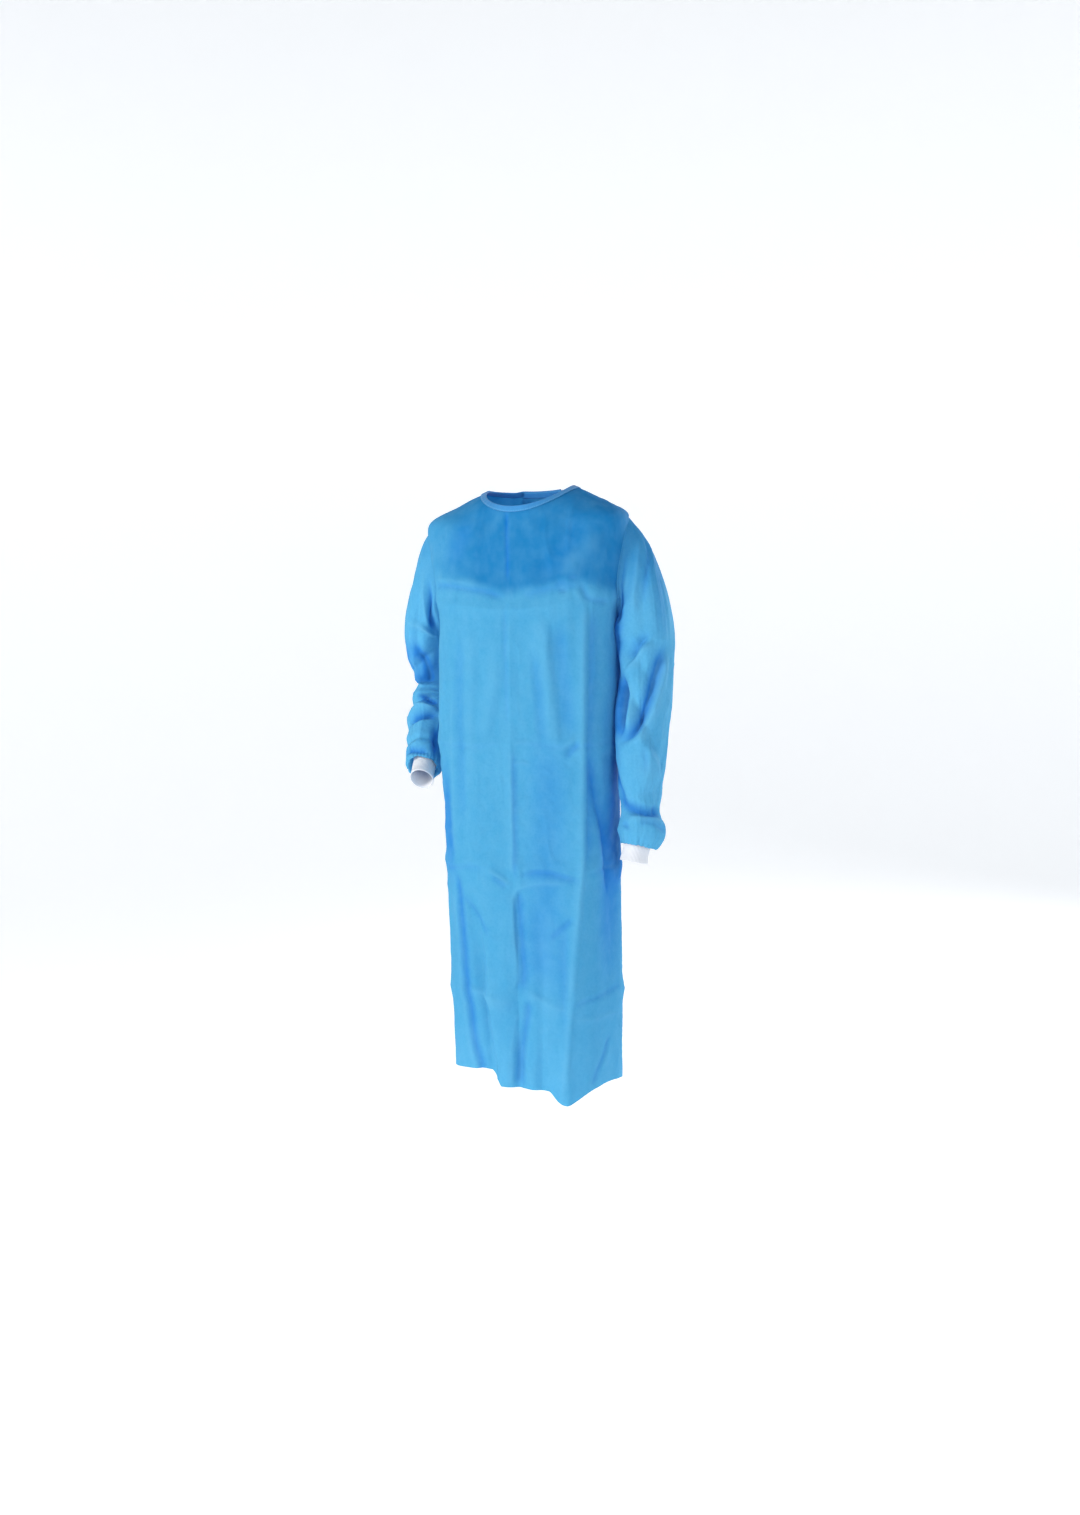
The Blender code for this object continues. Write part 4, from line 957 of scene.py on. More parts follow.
ALLOWANCE_TURN, ALLOWANCE_RISE, ALLOWANCE_SINK = 2.6, 0.10, 0.0020
CAP_OUT, CAP_DOWN, CAP_LEAVE, CAP_LAND = (0.45, 0.65), (0.85, 1.0), 1.1, 0.9
BEND_EASE, ELBOW, BEND_REACH = {"left": 0.0, "right": 0.85}, 2.0, 2.6

# Folds across the sleeves: around is 0 under the arm, 0.25 in front, 0.5 outside and 0.75 behind
Tuck = namedtuple("Tuck", "name around along half_around half_along out slant")
TUCK_ROUND = 0.10
BODY_CLEAR, SIDE_SEARCH, CLEAR_BELOW = 0.0015, 70.0, -0.240
TUCKS = {
    "left": (
        Tuck("inner side", 0.12, 2.20, 0.17, 4.60, 0.013, 0.0),
        Tuck("under the arm", 0.05, -0.25, 0.22, 1.40, 0.020, 0.0),
        Tuck("cap fold", 0.27, -0.35, 0.06, 0.60, -0.004, 0.0),
        Tuck("cap swell", 0.39, -0.20, 0.09, 0.70, 0.006, 0.0),
        Tuck("upper drag line", 0.22, 0.60, 0.22, 0.55, -0.007, 5.0),
        Tuck("long drag line", 0.27, 2.20, 0.34, 0.62, -0.010, 6.5),
        Tuck("elbow swell", 0.38, 3.40, 0.22, 0.60, 0.005, 5.0),
        Tuck("forearm fold", 0.44, 4.30, 0.20, 0.45, -0.005, -2.5),
        Tuck("blouse fold", 0.32, 5.35, 0.36, 0.35, -0.005, 0.8),
        Tuck("back drag line", 0.75, 2.00, 0.24, 0.60, -0.008, -3.0),
        Tuck("back forearm fold", 0.72, 3.90, 0.22, 0.45, -0.006, 2.0),
    ),
    "right": (
        Tuck("cap fold", 0.27, -0.30, 0.06, 0.60, -0.007, 0.0),
        Tuck("upper drag line", 0.30, 0.70, 0.28, 0.45, -0.008, 4.0),
        Tuck("above the elbow", 0.46, 1.50, 0.17, 0.95, -0.009, 0.0),
        Tuck("crook", 0.29, 1.88, 0.36, 0.50, -0.011, -0.8),
        Tuck("crook below", 0.27, 2.85, 0.30, 0.36, -0.010, 0.6),
        Tuck("forearm swell", 0.35, 3.60, 0.40, 0.45, 0.005, 0.0),
        Tuck("forearm fold", 0.45, 4.30, 0.26, 0.36, -0.005, 1.0),
        Tuck("blouse fold", 0.30, 5.30, 0.36, 0.34, -0.005, -0.5),
        Tuck("elbow drag line", 0.70, 1.30, 0.26, 0.50, -0.007, 2.5),
    ),
}

# Creases pressed and dragged into the sleeves: their places are (around, along), as for the tucks
ARM_GIRTH = 0.30
CAP_ON_BODY_SHADE = {"left": 0.62, "right": 0.24}
GATHERS, GATHER_FROM, GATHER_TO, GATHER_HEIGHT = 26, 6.2, 8.6, 0.0006
SLEEVE_CREASES = {
    "left": (
        Crease("armhole hollow", -3, 12, 10, 1.7, ((0.33, -0.99), (0.29, -0.95), (0.24, -0.9),
            (0.19, -0.84), (0.15, -0.66), (0.13, -0.4)), dark=1.7),
        Crease("armhole pleat", 4, 12, 10, 1.7, ((0.42, -0.93), (0.35, -0.84), (0.29, -0.72),
            (0.25, -0.55), (0.23, -0.3))),
        Crease("armhole pleat shade", -3.5, 12, 8, 1.6, ((0.44, -0.85), (0.38, -0.72), (0.32, -0.56),
            (0.29, -0.36)), dark=0.45),
        Crease("inner hollow", -2, 16, 22, 1.8, ((0.13, -0.45), (0.11, 0.1), (0.1, 0.6), (0.095, 1.1)),
            dark=0.8),
        # The next two have no height: painted shade along the sleeve's inner side, where it hangs by the
        # body
        Crease("elbow hollow shade", 0, 12, 40, 1.6, ((0.105, 0.9), (0.14, 1.3), (0.155, 1.8),
            (0.16, 2.3), (0.135, 2.9)), 50, dark=0.7),
        Crease("inner side shade", 0, 34, 50, 1.4, ((0.17, -0.86), (0.11, -0.5), (0.06, 0), (0.05, 0.8),
            (0.05, 2), (0.05, 3.4), (0.06, 4.4)), dark=0.9),
        Crease("arc fold", -7.5, 8, 20, 1.4, ((0.315, -0.1), (0.285, 0.1), (0.245, 0.32), (0.205, 0.54),
            (0.165, 0.74)), dark=0.65),
        Crease("arc fold edge", 6, 16, 7, 1.5, ((0.335, 0.08), (0.295, 0.32), (0.25, 0.58), (0.205, 0.84),
            (0.165, 1.12))),
        Crease("elbow hollow", -11, 12, 30, 1.6, ((0.115, 1.05), (0.145, 1.35), (0.16, 1.8), (0.165, 2.3),
            (0.14, 2.95)), 40, dark=1.3),
        Crease("elbow hollow edge", 5, 18, 8, 1.5, ((0.185, 1.2), (0.205, 1.7), (0.212, 2.25),
            (0.2, 2.75))),
        Crease("long drag line", -12.5, 10, 24, 1.5, ((0.415, 0.1), (0.402, 0.55), (0.385, 0.95),
            (0.365, 1.35), (0.335, 1.85), (0.298, 2.38), (0.24, 2.74), (0.13, 3.05)), 50, dark=1.4),
        Crease("long drag ridge", 8.5, 22, 12, 1.6, ((0.435, 0.2), (0.415, 0.8), (0.39, 1.4),
            (0.355, 2.1), (0.3, 2.7), (0.23, 3.08)), 50),
        Crease("cap side hollow", -5, 20, 22, 2, ((0.47, -0.75), (0.415, -0.45), (0.392, -0.16),
            (0.4, 0.15)), 50, dark=0.3),
        Crease("outer long fold", 3.8, 16, 18, 1.8, ((0.52, -0.3), (0.5, 0.6), (0.47, 1.5), (0.45, 2.4)),
            50),
        Crease("forearm mark", -3, 8, 10, 1.6, ((0.315, 3), (0.332, 3.95))),
        Crease("forearm light fold", 6.2, 32, 30, 2, ((0.34, 3), (0.35, 3.7), (0.34, 4.7)), 60),
        Crease("forearm inner hollow", -7, 16, 20, 1.8, ((0.06, 3.4), (0.12, 4.3), (0.17, 4.85)),
            dark=0.8),
        Crease("pinch", -8, 18, 10, 1.5, ((0.04, 4.55), (0.16, 4.98), (0.3, 5.22), (0.4, 5.34),
            (0.52, 5.18)), dark=1.1),
        Crease("pinch notch", -6, 10, 8, 1.5, ((0.4, 4.95), (0.47, 5.18), (0.56, 5.3)), 20),
        Crease("blouse ridge", 5, 10, 14, 1.6, ((0.16, 5.35), (0.28, 5.5), (0.4, 5.62), (0.5, 5.7))),
        Crease("blouse crease", -4.5, 11, 6, 1.4, ((0.27, 5.8), (0.34, 5.74), (0.41, 5.88), (0.53, 6.1)),
            20, dark=0.5),
        Crease("blouse crease inner", -4, 10, 7, 1.5, ((0.12, 5.6), (0.18, 5.9), (0.22, 6.25)), 20,
            dark=0.6),
        Crease("back long drag", -9.5, 14, 20, 1.6, ((0.62, 0.1), (0.7, 0.9), (0.79, 1.6), (0.88, 2.2)),
            50),
        Crease("back drag ridge", 6, 16, 14, 1.7, ((0.59, 0.7), (0.66, 1.4), (0.76, 2.1), (0.84, 2.7)),
            50),
        Crease("back elbow fold", -8.5, 12, 18, 1.5, ((0.6, 2.6), (0.7, 2.95), (0.82, 2.9), (0.92, 2.6)),
            40),
        Crease("back forearm fold", -6.5, 12, 14, 1.6, ((0.56, 3.7), (0.66, 4.1), (0.78, 4.05),
            (0.88, 3.7)), 40),
        Crease("back pinch", -6.5, 12, 10, 1.5, ((0.58, 5.2), (0.68, 4.95), (0.8, 5.1), (0.92, 4.8))),
    ),
    "right": (
        Crease("armhole mark", -3, 7, 7, 1.6, ((0.39, -0.9), (0.315, -0.88)), 10, dark=0.6),
        Crease("upper hollow", -11, 14, 20, 1.6, ((0.27, -0.92), (0.225, -0.84), (0.18, -0.7),
            (0.14, -0.5), (0.1, -0.42)), dark=1.5),
        Crease("upper hollow edge", 4, 14, 8, 1.6, ((0.31, -0.84), (0.265, -0.72), (0.215, -0.55),
            (0.19, -0.46))),
        Crease("upper ridge", 7, 9, 9, 1.5, ((0.37, -0.3), (0.308, -0.29), (0.212, -0.36), (0.15, -0.34),
            (0.1, -0.33))),
        Crease("crook hollow", -5, 24, 22, 1.5, ((0.31, -0.16), (0.255, 0.05), (0.215, 0.45),
            (0.195, 0.95), (0.2, 1.4), (0.175, 1.85)), 40, dark=1.5),
        Crease("crook shade", -4, 18, 18, 1.8, ((0.12, -0.1), (0.13, 0.5), (0.14, 1.2)), 40, dark=0.45),
        Crease("crook edge", 5.5, 14, 9, 1.5, ((0.36, 0.1), (0.325, 0.5), (0.3, 0.95), (0.3, 1.3)), 40),
        # The next two have no height: painted shade on the outside of the upper arm, above the crook
        Crease("outer shade", 0, 46, 42, 1.8, ((0.4, -0.2), (0.37, 0.2), (0.345, 0.7), (0.315, 1.2),
            (0.27, 1.6)), 50, dark=1),
        Crease("shade above the crook", 0, 34, 34, 1.6, ((0.33, 0.8), (0.28, 1.25), (0.22, 1.62)),
            dark=0.8),
        Crease("crook ridge", 2, 16, 14, 1.8, ((0.36, 2.2), (0.29, 2.14), (0.225, 2.2), (0.16, 2.36),
            (0.11, 2.6))),
        Crease("crook fold", -8, 18, 12, 1.3, ((0.35, 2.65), (0.3, 2.76), (0.212, 3.02), (0.12, 3.25)),
            dark=1.6),
        Crease("crook fold ridge", 8, 12, 10, 1.6, ((0.36, 3.3), (0.28, 3.42), (0.2, 3.55),
            (0.13, 3.55))),
        Crease("forearm fold", -10.5, 9, 18, 1.5, ((0.4, 4.06), (0.312, 4.12), (0.208, 4.04),
            (0.12, 3.75)), dark=1.6),
        Crease("forearm light fold", 5, 18, 20, 1.8, ((0.26, 4.7), (0.25, 5.4), (0.24, 6)), 40),
        Crease("forearm hollow", -6.5, 18, 22, 1.7, ((0.135, 4.35), (0.108, 5.3), (0.08, 6.3), (0.05, 7)),
            40, dark=1.6),
        Crease("wrist fold", -7, 9, 16, 1.5, ((0.44, 6.05), (0.34, 6.28), (0.28, 6.55), (0.225, 6.7),
            (0.12, 6.6)), dark=1.1),
        Crease("outer elbow drag", -6, 16, 16, 1.8, ((0.42, 0.6), (0.5, 1.3), (0.58, 1.7), (0.66, 1.8)),
            50),
        Crease("outer elbow ridge", 5.5, 14, 14, 1.8, ((0.44, 2.6), (0.52, 2.2), (0.6, 2.05), (0.7, 2.1)),
            50),
        Crease("outer forearm fold", -6, 12, 16, 1.6, ((0.44, 4.5), (0.54, 4.9), (0.64, 5), (0.74, 4.8)),
            40),
        Crease("back upper drag", -8.5, 16, 18, 1.6, ((0.62, -0.3), (0.7, 0.2), (0.8, 0.5), (0.9, 0.6)),
            50),
        Crease("inner crook fold", -9, 12, 16, 1.6, ((0.02, 1.6), (0.07, 1.95), (0.1, 2.3)), 40),
        Crease("inner crook ridge", 5, 12, 12, 1.6, ((-0.02, 2.2), (0.05, 2.5), (0.09, 2.8)), 40),
    ),
}


def armhole_loop(side_name, around, under=0.0):
    """The seam line round the armhole, up its front edge to the shoulder and down its back.

    Under is 1 for the edge of the seam allowance, which lies inside the panels.
    """
    share = 0.5 - 0.5 * np.cos(2 * np.pi * around)
    half = armhole(share) + under * ALLOWANCE_TURN * np.abs(np.sin(2 * np.pi * around))
    angle = SIDE_SEAM + np.where(around < 0.5, -half, half)
    angle = angle if side_name == "left" else 180.0 - angle
    level = UNDERARM + (SHOULDER_TIP - UNDERARM) * share
    level = level - under * ALLOWANCE_RISE * np.cos(2 * np.pi * around)
    loop = raised(angle, level, np.full(angle.shape, -under * ALLOWANCE_SINK))
    inward = loop.mean(axis=0) - loop
    inward[:, 0] = 0.0
    return loop + unit(inward) * SEAM_TUCK


def arm_frame(side_name, along):
    """Centres of the sleeve's sections, ways across, to the front and down the arm, and halves."""

    def read(field, at):
        return spline([getattr(section, field) for section in SLEEVES[side_name]], at)

    step = 0.05 + BEND_EASE[side_name] * hill(along - ELBOW, BEND_REACH, 2.0)
    places = np.minimum(along, STRAIGHT_FROM - step)
    centre, ahead, behind = (
        np.stack([read(field, at) for field in "xyz"], axis=-1)
        for at in (along, places + step, np.maximum(places - step, 0.0))
    )
    down = unit(ahead - behind)
    sideways = np.zeros_like(down)
    sideways[:, 0] = SIGN[side_name]
    sideways = unit(sideways - (sideways * down).sum(-1, keepdims=True) * down)
    front = np.cross(down, sideways) * SIGN[side_name]
    return centre, sideways, front, down, read("half_side", along), read("half_depth", along)


def ring_points(arm, around, share_out):
    centre, sideways, front, down, half_side, half_depth = arm
    turn = 2 * np.pi * around[None, :]
    aside = -np.cos(turn) * (half_side[:, None] + share_out)
    forward = np.sin(turn) * (half_depth[:, None] + share_out)
    return centre[:, None] + aside[..., None] * sideways[:, None] + forward[..., None] * front[:, None]


def cap_rows(side_name, around, along):
    """Rows from the armhole (-1) to the first section (0), each column leaving the seam outwards."""
    seam = armhole_loop(side_name, around)[None]
    arm = arm_frame(side_name, np.zeros(1))
    first = ring_points(arm, around, 0.0)
    high = (0.5 - 0.5 * np.cos(2 * np.pi * around))[None, :, None]
    reach = np.linalg.norm(first - seam, axis=-1, keepdims=True)
    outward = np.array([SIGN[side_name], 0.0, 0.0])
    below = np.array([0.0, 0.0, -1.0])
    leave = outward * (CAP_OUT[0] + (CAP_OUT[1] - CAP_OUT[0]) * high)
    leave = leave + below * (CAP_DOWN[0] + (CAP_DOWN[1] - CAP_DOWN[0]) * high)
    leave = unit(leave) * reach * CAP_LEAVE
    land = arm[3][:, None] * reach * CAP_LAND
    part = (np.asarray(along) + 1.0)[:, None, None]
    square, cube = part**2, part**3
    return (
        seam * (2 * cube - 3 * square + 1)
        + leave * (cube - 2 * square + part)
        + first * (3 * square - 2 * cube)
        + land * (cube - square)
    )


def clear_of_body(points, side_name):
    """Moves the sleeve's points out to the body's face where they would lie inside the body."""
    levels = np.linspace(0, UNDERARM, 301)
    level = np.interp(points[..., 2], ring_value("side_z", levels), levels)
    low, high = np.full(level.shape, -SIDE_SEARCH), np.full(level.shape, SIDE_SEARCH)
    for _ in range(14):
        middle = (low + high) / 2
        place = body(middle if side_name == "left" else 180.0 - middle, level)
        ahead = place[..., 1] < points[..., 1]
        low, high = np.where(ahead, middle, low), np.where(ahead, high, middle)
    sign = SIGN[side_name]
    lack = (place[..., 0] - points[..., 0]) * sign + BODY_CLEAR
    moved = points.copy()
    low_down = smooth((CLEAR_BELOW - points[..., 2]) / 0.02)
    moved[..., 0] += sign * np.clip(lack, 0.0, None) * low_down
    return moved


def tube_normal(tube, side_name):
    wide = np.concatenate([tube[:, -1:], tube, tube[:, :1]], axis=1)
    return unit(np.cross(np.gradient(tube, axis=0), wide[:, 2:] - wide[:, :-2])) * SIGN[side_name]


def arm_metres(path):
    """A crease's places in turns and sections as metres round and down the sleeve."""
    turns, sections = np.asarray(path, float).T
    return np.stack([turns * ARM_GIRTH, -np.interp(sections, along, down_arm)], axis=-1)


around = np.arange(150) / 150
along = np.concatenate([
    [-1.0],
    -1.0 + (1 - np.cos(np.linspace(0, np.pi / 2, 70)[:-1])),
    np.linspace(0.0, 5.0, 112)[:-1],
    np.linspace(5.0, STRAIGHT_FROM, 30)[:-1],
    np.linspace(STRAIGHT_FROM, LAST_SECTION, 12),
])
level = along[:, None]
to_front, outward = np.sin(2 * np.pi * around), np.cos(2 * np.pi * around)
gather = smooth((level - GATHER_FROM) / 0.7) * (0.5 + 0.5 * smooth(GATHER_TO - level))
fading = smooth((level + 1.0) / 0.35) * smooth((LAST_SECTION - level) / 1.2)
# Painted light: the sleeves take the same cloth painted lighter than the body's
sleeve_cloth_painted_lighter = nonwoven("blue nonwoven sleeve cloth", CLOTH_PAINTED_LIGHTER)
for side_name, seed in (("left", 51), ("right", 61)):
    arm = ring_points(arm_frame(side_name, along[along >= 0]), around, 0.0)
    tube = np.concatenate([cap_rows(side_name, around, along[along < 0]), arm])
    tube[0] = armhole_loop(side_name, around, under=1.0)
    swell = np.zeros(tube.shape[:2])
    for tuck in TUCKS[side_name]:
        turn = (around - tuck.around + 0.5) % 1.0 - 0.5
        place = level - tuck.along - tuck.slant * turn
        place = np.sqrt(place**2 + TUCK_ROUND**2) - TUCK_ROUND
        swell = swell + tuck.out * hill(turn, tuck.half_around, 2.0) * hill(place, tuck.half_along, 1.8)
    run = np.linalg.norm(np.diff(tube.mean(axis=1), axis=0), axis=1)
    down_arm = np.concatenate([[0.0], np.cumsum(run)]) - run[0]
    across = np.broadcast_to(around * ARM_GIRTH, swell.shape)
    up = np.broadcast_to(-down_arm[:, None], swell.shape)
    creases = SLEEVE_CREASES[side_name]
    out, marks = crease_relief(creases, across, up, arm_metres)
    wrap_out, wrap_marks = crease_relief(creases, across - ARM_GIRTH, up, arm_metres)
    out = out + wrap_out + stiff_crumple(0.09 * outward + 0.2 * to_front, up + 0.03 * to_front, seed)
    ripple = np.sin(2 * np.pi * GATHERS * around + 2.5 * crumple(across, up, 0.03, 0.05, seed + 7))
    out = out + GATHER_HEIGHT * gather * ripple
    rolled = seam_roll(-up, across, seed + 8)
    moved = swell * smooth((level + 1.0) / 0.5) + out * fading + rolled - HALF_WALL
    points = shouldered(tube + tube_normal(tube, side_name) * moved[..., None])
    points = clear_of_body(points, side_name)
    marks = {mark: (marks[mark] + wrap_marks[mark]) * fading for mark in marks}
    # Painted shade on the top of each sleeve, where it lies over the shoulder
    marks["on_body_shade"] = CAP_ON_BODY_SHADE[side_name] * smooth((points[..., 2] + 0.250) / 0.13)
    if side_name == "left":
        points = points[:, ::-1]
        marks = {mark: values[:, ::-1] for mark, values in marks.items()}
    sleeve = cloth_piece(f"sleeve_{side_name}_cloth", points, across, up, marks, closed=True)
    put_on(sleeve, sleeve_cloth_painted_lighter, f"sleeve_{side_name}")


# Knit cuffs
# White polyester rib knit, a seamless tube sewn inside the gathered end of the sleeve. The ribs
# stand up outside, and the knit draws in a little between its ends.

CUFF_LENGTH, CUFF_RISE, CUFF_TUCK, CUFF_GIRTH = 0.046, 0.004, 0.0014, 0.17
CUFF_RIBS, RIB_HEIGHT, KNIT_WALL = 62, 0.0007, 0.0016
CUFF_DRAW, CUFF_UNEVEN, CUFF_LIP = 0.0016, 0.0005, 0.0006
KNIT_WHITE, KNIT_SHADE = (0.84, 0.84, 0.87), (0.62, 0.64, 0.70)
KNIT_ROW = 0.0011


def rib_knit(name):
    recipe = Recipe(name)
    stitch = recipe.sum("SINE", recipe.times(recipe.flat_place()[1], 2 * np.pi / KNIT_ROW))
    stitch = recipe.between(stitch, -1.0, 1.0)
    fuzz = recipe.cloud(recipe.place(), 0.0012, 3.0, 0.7)
    # Painted shade: the grooves between the ribs are painted greyer than the rib tops
    colour = recipe.blend(recipe.mark("rib"), KNIT_SHADE, KNIT_WHITE)
    colour = recipe.blend(recipe.times(stitch, 0.10), colour, KNIT_SHADE)
    height = recipe.sum("ADD", recipe.times(stitch, 0.6), recipe.times(fuzz, 0.7))
    look = {"Roughness": 0.9, "Specular IOR Level": 0.2, "Sheen Weight": 0.35}
    return recipe.finish(colour, recipe.bump(height, 0.6, 0.0004), look)


cuff_knit = rib_knit("white rib knit")
rib_turn = np.arange(CUFF_RIBS * 6) / (CUFF_RIBS * 6)
rib_wave = (0.5 + 0.5 * np.cos(2 * np.pi * CUFF_RIBS * rib_turn)) ** 0.6
shares = np.concatenate([np.linspace(0.0, 1.0, 26), np.linspace(1.0, 0.0, 12)])
inside = np.concatenate([np.zeros(25), [0.25, 0.75], np.ones(11)])
lengths = CUFF_LENGTH * shares - CUFF_RISE + CUFF_LIP * np.sin(np.pi * inside) * (shares > 0.9)
drawn_in = -CUFF_DRAW * np.sin(np.pi * shares[:, None])
drawn_in = drawn_in + CUFF_UNEVEN * crumple(
    rib_turn * CUFF_GIRTH, shares[:, None] * 0.05, 0.03, 0.02, 71
)
wall = RIB_HEIGHT * rib_wave * (1 - inside[:, None]) - KNIT_WALL * inside[:, None]
down_knit = -(shares + 2 * inside * (1 - shares)) * CUFF_LENGTH
for side_name in SLEEVES:
    centre, sideways, front, down, half_side, half_depth = arm_frame(
        side_name, np.full(len(shares), LAST_SECTION)
    )
    girth = np.pi * (half_side[0] + half_depth[0])
    centre = centre + down * lengths[:, None]
    arm = (centre, sideways, front, down, half_side - CUFF_TUCK, half_depth - CUFF_TUCK)
    points = ring_points(arm, rib_turn, drawn_in + wall)
    across = np.broadcast_to(rib_turn * girth, points.shape[:2])
    up = np.broadcast_to(down_knit[:, None], across.shape)
    ribs = np.broadcast_to(rib_wave, across.shape)
    if side_name == "left":
        points, ribs = points[:, ::-1], ribs[:, ::-1]
    cuff = cloth_piece(
        f"cuff_{side_name}_knit", points, across, up, {"rib": ribs}, closed=True, ends="joined"
    )
    put_on(cuff, cuff_knit, f"cuff_{side_name}")


# Neck binding
# A strip of the same cloth folded over the raw neckline and topstitched near its lower edge. It ends
# at the two back edges.

BINDING_DEPTH, BINDING_WALL = 0.010, 0.0008
LAY_GAP = 0.0005
BINDING_BLUE = (0.034, 0.240, 0.560)
STITCH_STEP = 0.0032
BINDING_SEAM, BINDING_STITCH = 0.0018, 0.0007
BINDING_RIPPLE, BINDING_RIPPLE_STEP = 0.00022, 0.0016


def stitched_cloth(name, blue):
    """The cloth of narrow strips, with a line of stitches along each long edge."""
    recipe = Recipe(name)
    fibres = recipe.cloud(recipe.place(), FIBRE_SIZE, 4.0, 0.65)
    bonds = dot_rows(recipe, BOND_ACROSS, BOND_UP, BOND_OVAL)
    seam = recipe.mark("stitch_line")
    run = recipe.sum("FRACT", recipe.sum("DIVIDE", recipe.flat_place()[0], STITCH_STEP))
    off = recipe.sum("ABSOLUTE", recipe.sum("SUBTRACT", run, 0.5))
    stitches = recipe.times(recipe.between(off, 0.30, 0.38, 1.0, 0.0), seam)
    colour = recipe.blend(recipe.between(fibres, 0.4, 0.66, 0.0, 0.2), blue, CLOTH_DEEP)
    colour = recipe.blend(recipe.times(bonds, 0.13), colour, CLOTH_DEEP)
    colour = recipe.blend(recipe.times(stitches, 0.35), colour, CLOTH_PALE)
    cloth_height = recipe.sum("SUBTRACT", recipe.times(fibres, 0.3), recipe.times(bonds, 0.4))
    height = recipe.sum("ADD", cloth_height, recipe.sum("SUBTRACT", stitches, seam))
    look = {"Roughness": 0.72, "Specular IOR Level": 0.32, "Sheen Weight": 0.18}
    return recipe.finish(colour, recipe.bump(height, 0.6, 0.0004), look)


def lengths_along(points):
    """How far along a line each of its points lies."""
    return np.concatenate([[0], np.cumsum(np.linalg.norm(np.diff(points, axis=0), axis=1))])


last_level = len(RINGS) - 1.0
back_offsets = np.linspace(-BACK_LAP, back_side, 84)
rim, under, facing = [], [], []
for angles, lift, kept in (
    (BACK + back_offsets, lap_lift, slice(None, -1)),
    (FRONT + np.linspace(-front_side, front_side, 150), lying, slice(None)),
    ((BACK - back_offsets)[::-1], lying, slice(1, None)),
):
    lifted = lift(angles, last_level)
    rim.append(raised(angles, last_level, lifted)[kept])
    under.append(raised(angles, last_level - 0.3, lifted)[kept])
    facing.append(body_normal(angles, last_level)[kept])
rim, under, facing = (np.concatenate(part) for part in (rim, under, facing))
rim = rim - facing * HALF_WALL
downward = unit(under - rim)
facing = unit(facing - (facing * downward).sum(-1, keepdims=True) * downward)
full = HALF_WALL + LAY_GAP + BINDING_WALL
profile = [(BINDING_DEPTH + 0.0002, 0.45 * full), (BINDING_DEPTH, full - 0.0001)]
profile += [(down, full) for down in np.linspace(BINDING_DEPTH - 0.0006, 0.0008, 9)]
profile += [(-0.9 * full * np.sin(t), full * np.cos(t)) for t in np.linspace(0, np.pi, 9)]
profile += [(down, -full) for down in np.linspace(0.0008, BINDING_DEPTH, 6)]
profile += [(BINDING_DEPTH + 0.0002, -0.45 * full)]
profile = np.array(profile)
down, out = profile.T
outer_side = (out > 0) & (down > 0)
along_rim = lengths_along(rim)
uneven = crumple(along_rim, along_rim * 0, 0.02, 1.0, 81)
ripple = BINDING_RIPPLE * np.sin(along_rim / BINDING_RIPPLE_STEP + 2.0 * uneven)
strip = rim + downward * down[:, None, None]
strip = strip + facing * (out[:, None] + ripple * outer_side[:, None])[..., None]
line = np.exp(-(((down - BINDING_DEPTH + BINDING_SEAM) / BINDING_STITCH) ** 2)) * outer_side
binding = cloth_piece(
    "neck_binding_strip",
    strip,
    np.broadcast_to(along_rim, strip.shape[:2]),
    np.broadcast_to(lengths_along(profile)[:, None], strip.shape[:2]),
    {"stitch_line": np.broadcast_to(line[:, None], strip.shape[:2])},
)
put_on(binding, stitched_cloth("blue binding cloth", BINDING_BLUE), "neck_binding")


# Neck tab
# A short tab of white hook tape on the right back closes on a patch of loop tape on the left back.
# Both are sewn round their edges.

TAB_ANGLES, PATCH_ANGLES = (76.0, 42.0), (74.0, 36.0)
TAB_TOP, TAB_LOW = 9.55, 8.8
TAB_WALL, PATCH_WALL = 0.0014, 0.0010
TAPE_WHITE, TAPE_SHADE = (0.80, 0.82, 0.85), (0.55, 0.58, 0.64)
HOOK_ACROSS, HOOK_UP, LOOP_FUZZ = 0.0016, 0.0014, 0.0009
TAPE_EDGE = ((0.97, 0.12), (1.0, 0.55), (1.0, 1.0))


def tape(name, pile):
    """White fastening tape: rows of hooks, or a fuzz of loops."""
    recipe = Recipe(name)
    if pile == "loops":
        height, roughness = recipe.cloud(recipe.place(), LOOP_FUZZ, 4.0, 0.75), 0.85
    else:
        height, roughness = dot_rows(recipe, HOOK_ACROSS, HOOK_UP), 0.5
    colour = recipe.blend(recipe.times(height, 0.35), TAPE_WHITE, TAPE_SHADE)
    return recipe.finish(colour, recipe.bump(height, 0.7, 0.0005), {"Roughness": roughness})


def rim_of(grid):
    """What lies round the edge of a grid, once round."""
    return np.concatenate([grid[0, :-1], grid[:-1, -1], grid[-1, :0:-1], grid[:0:-1, 0]])


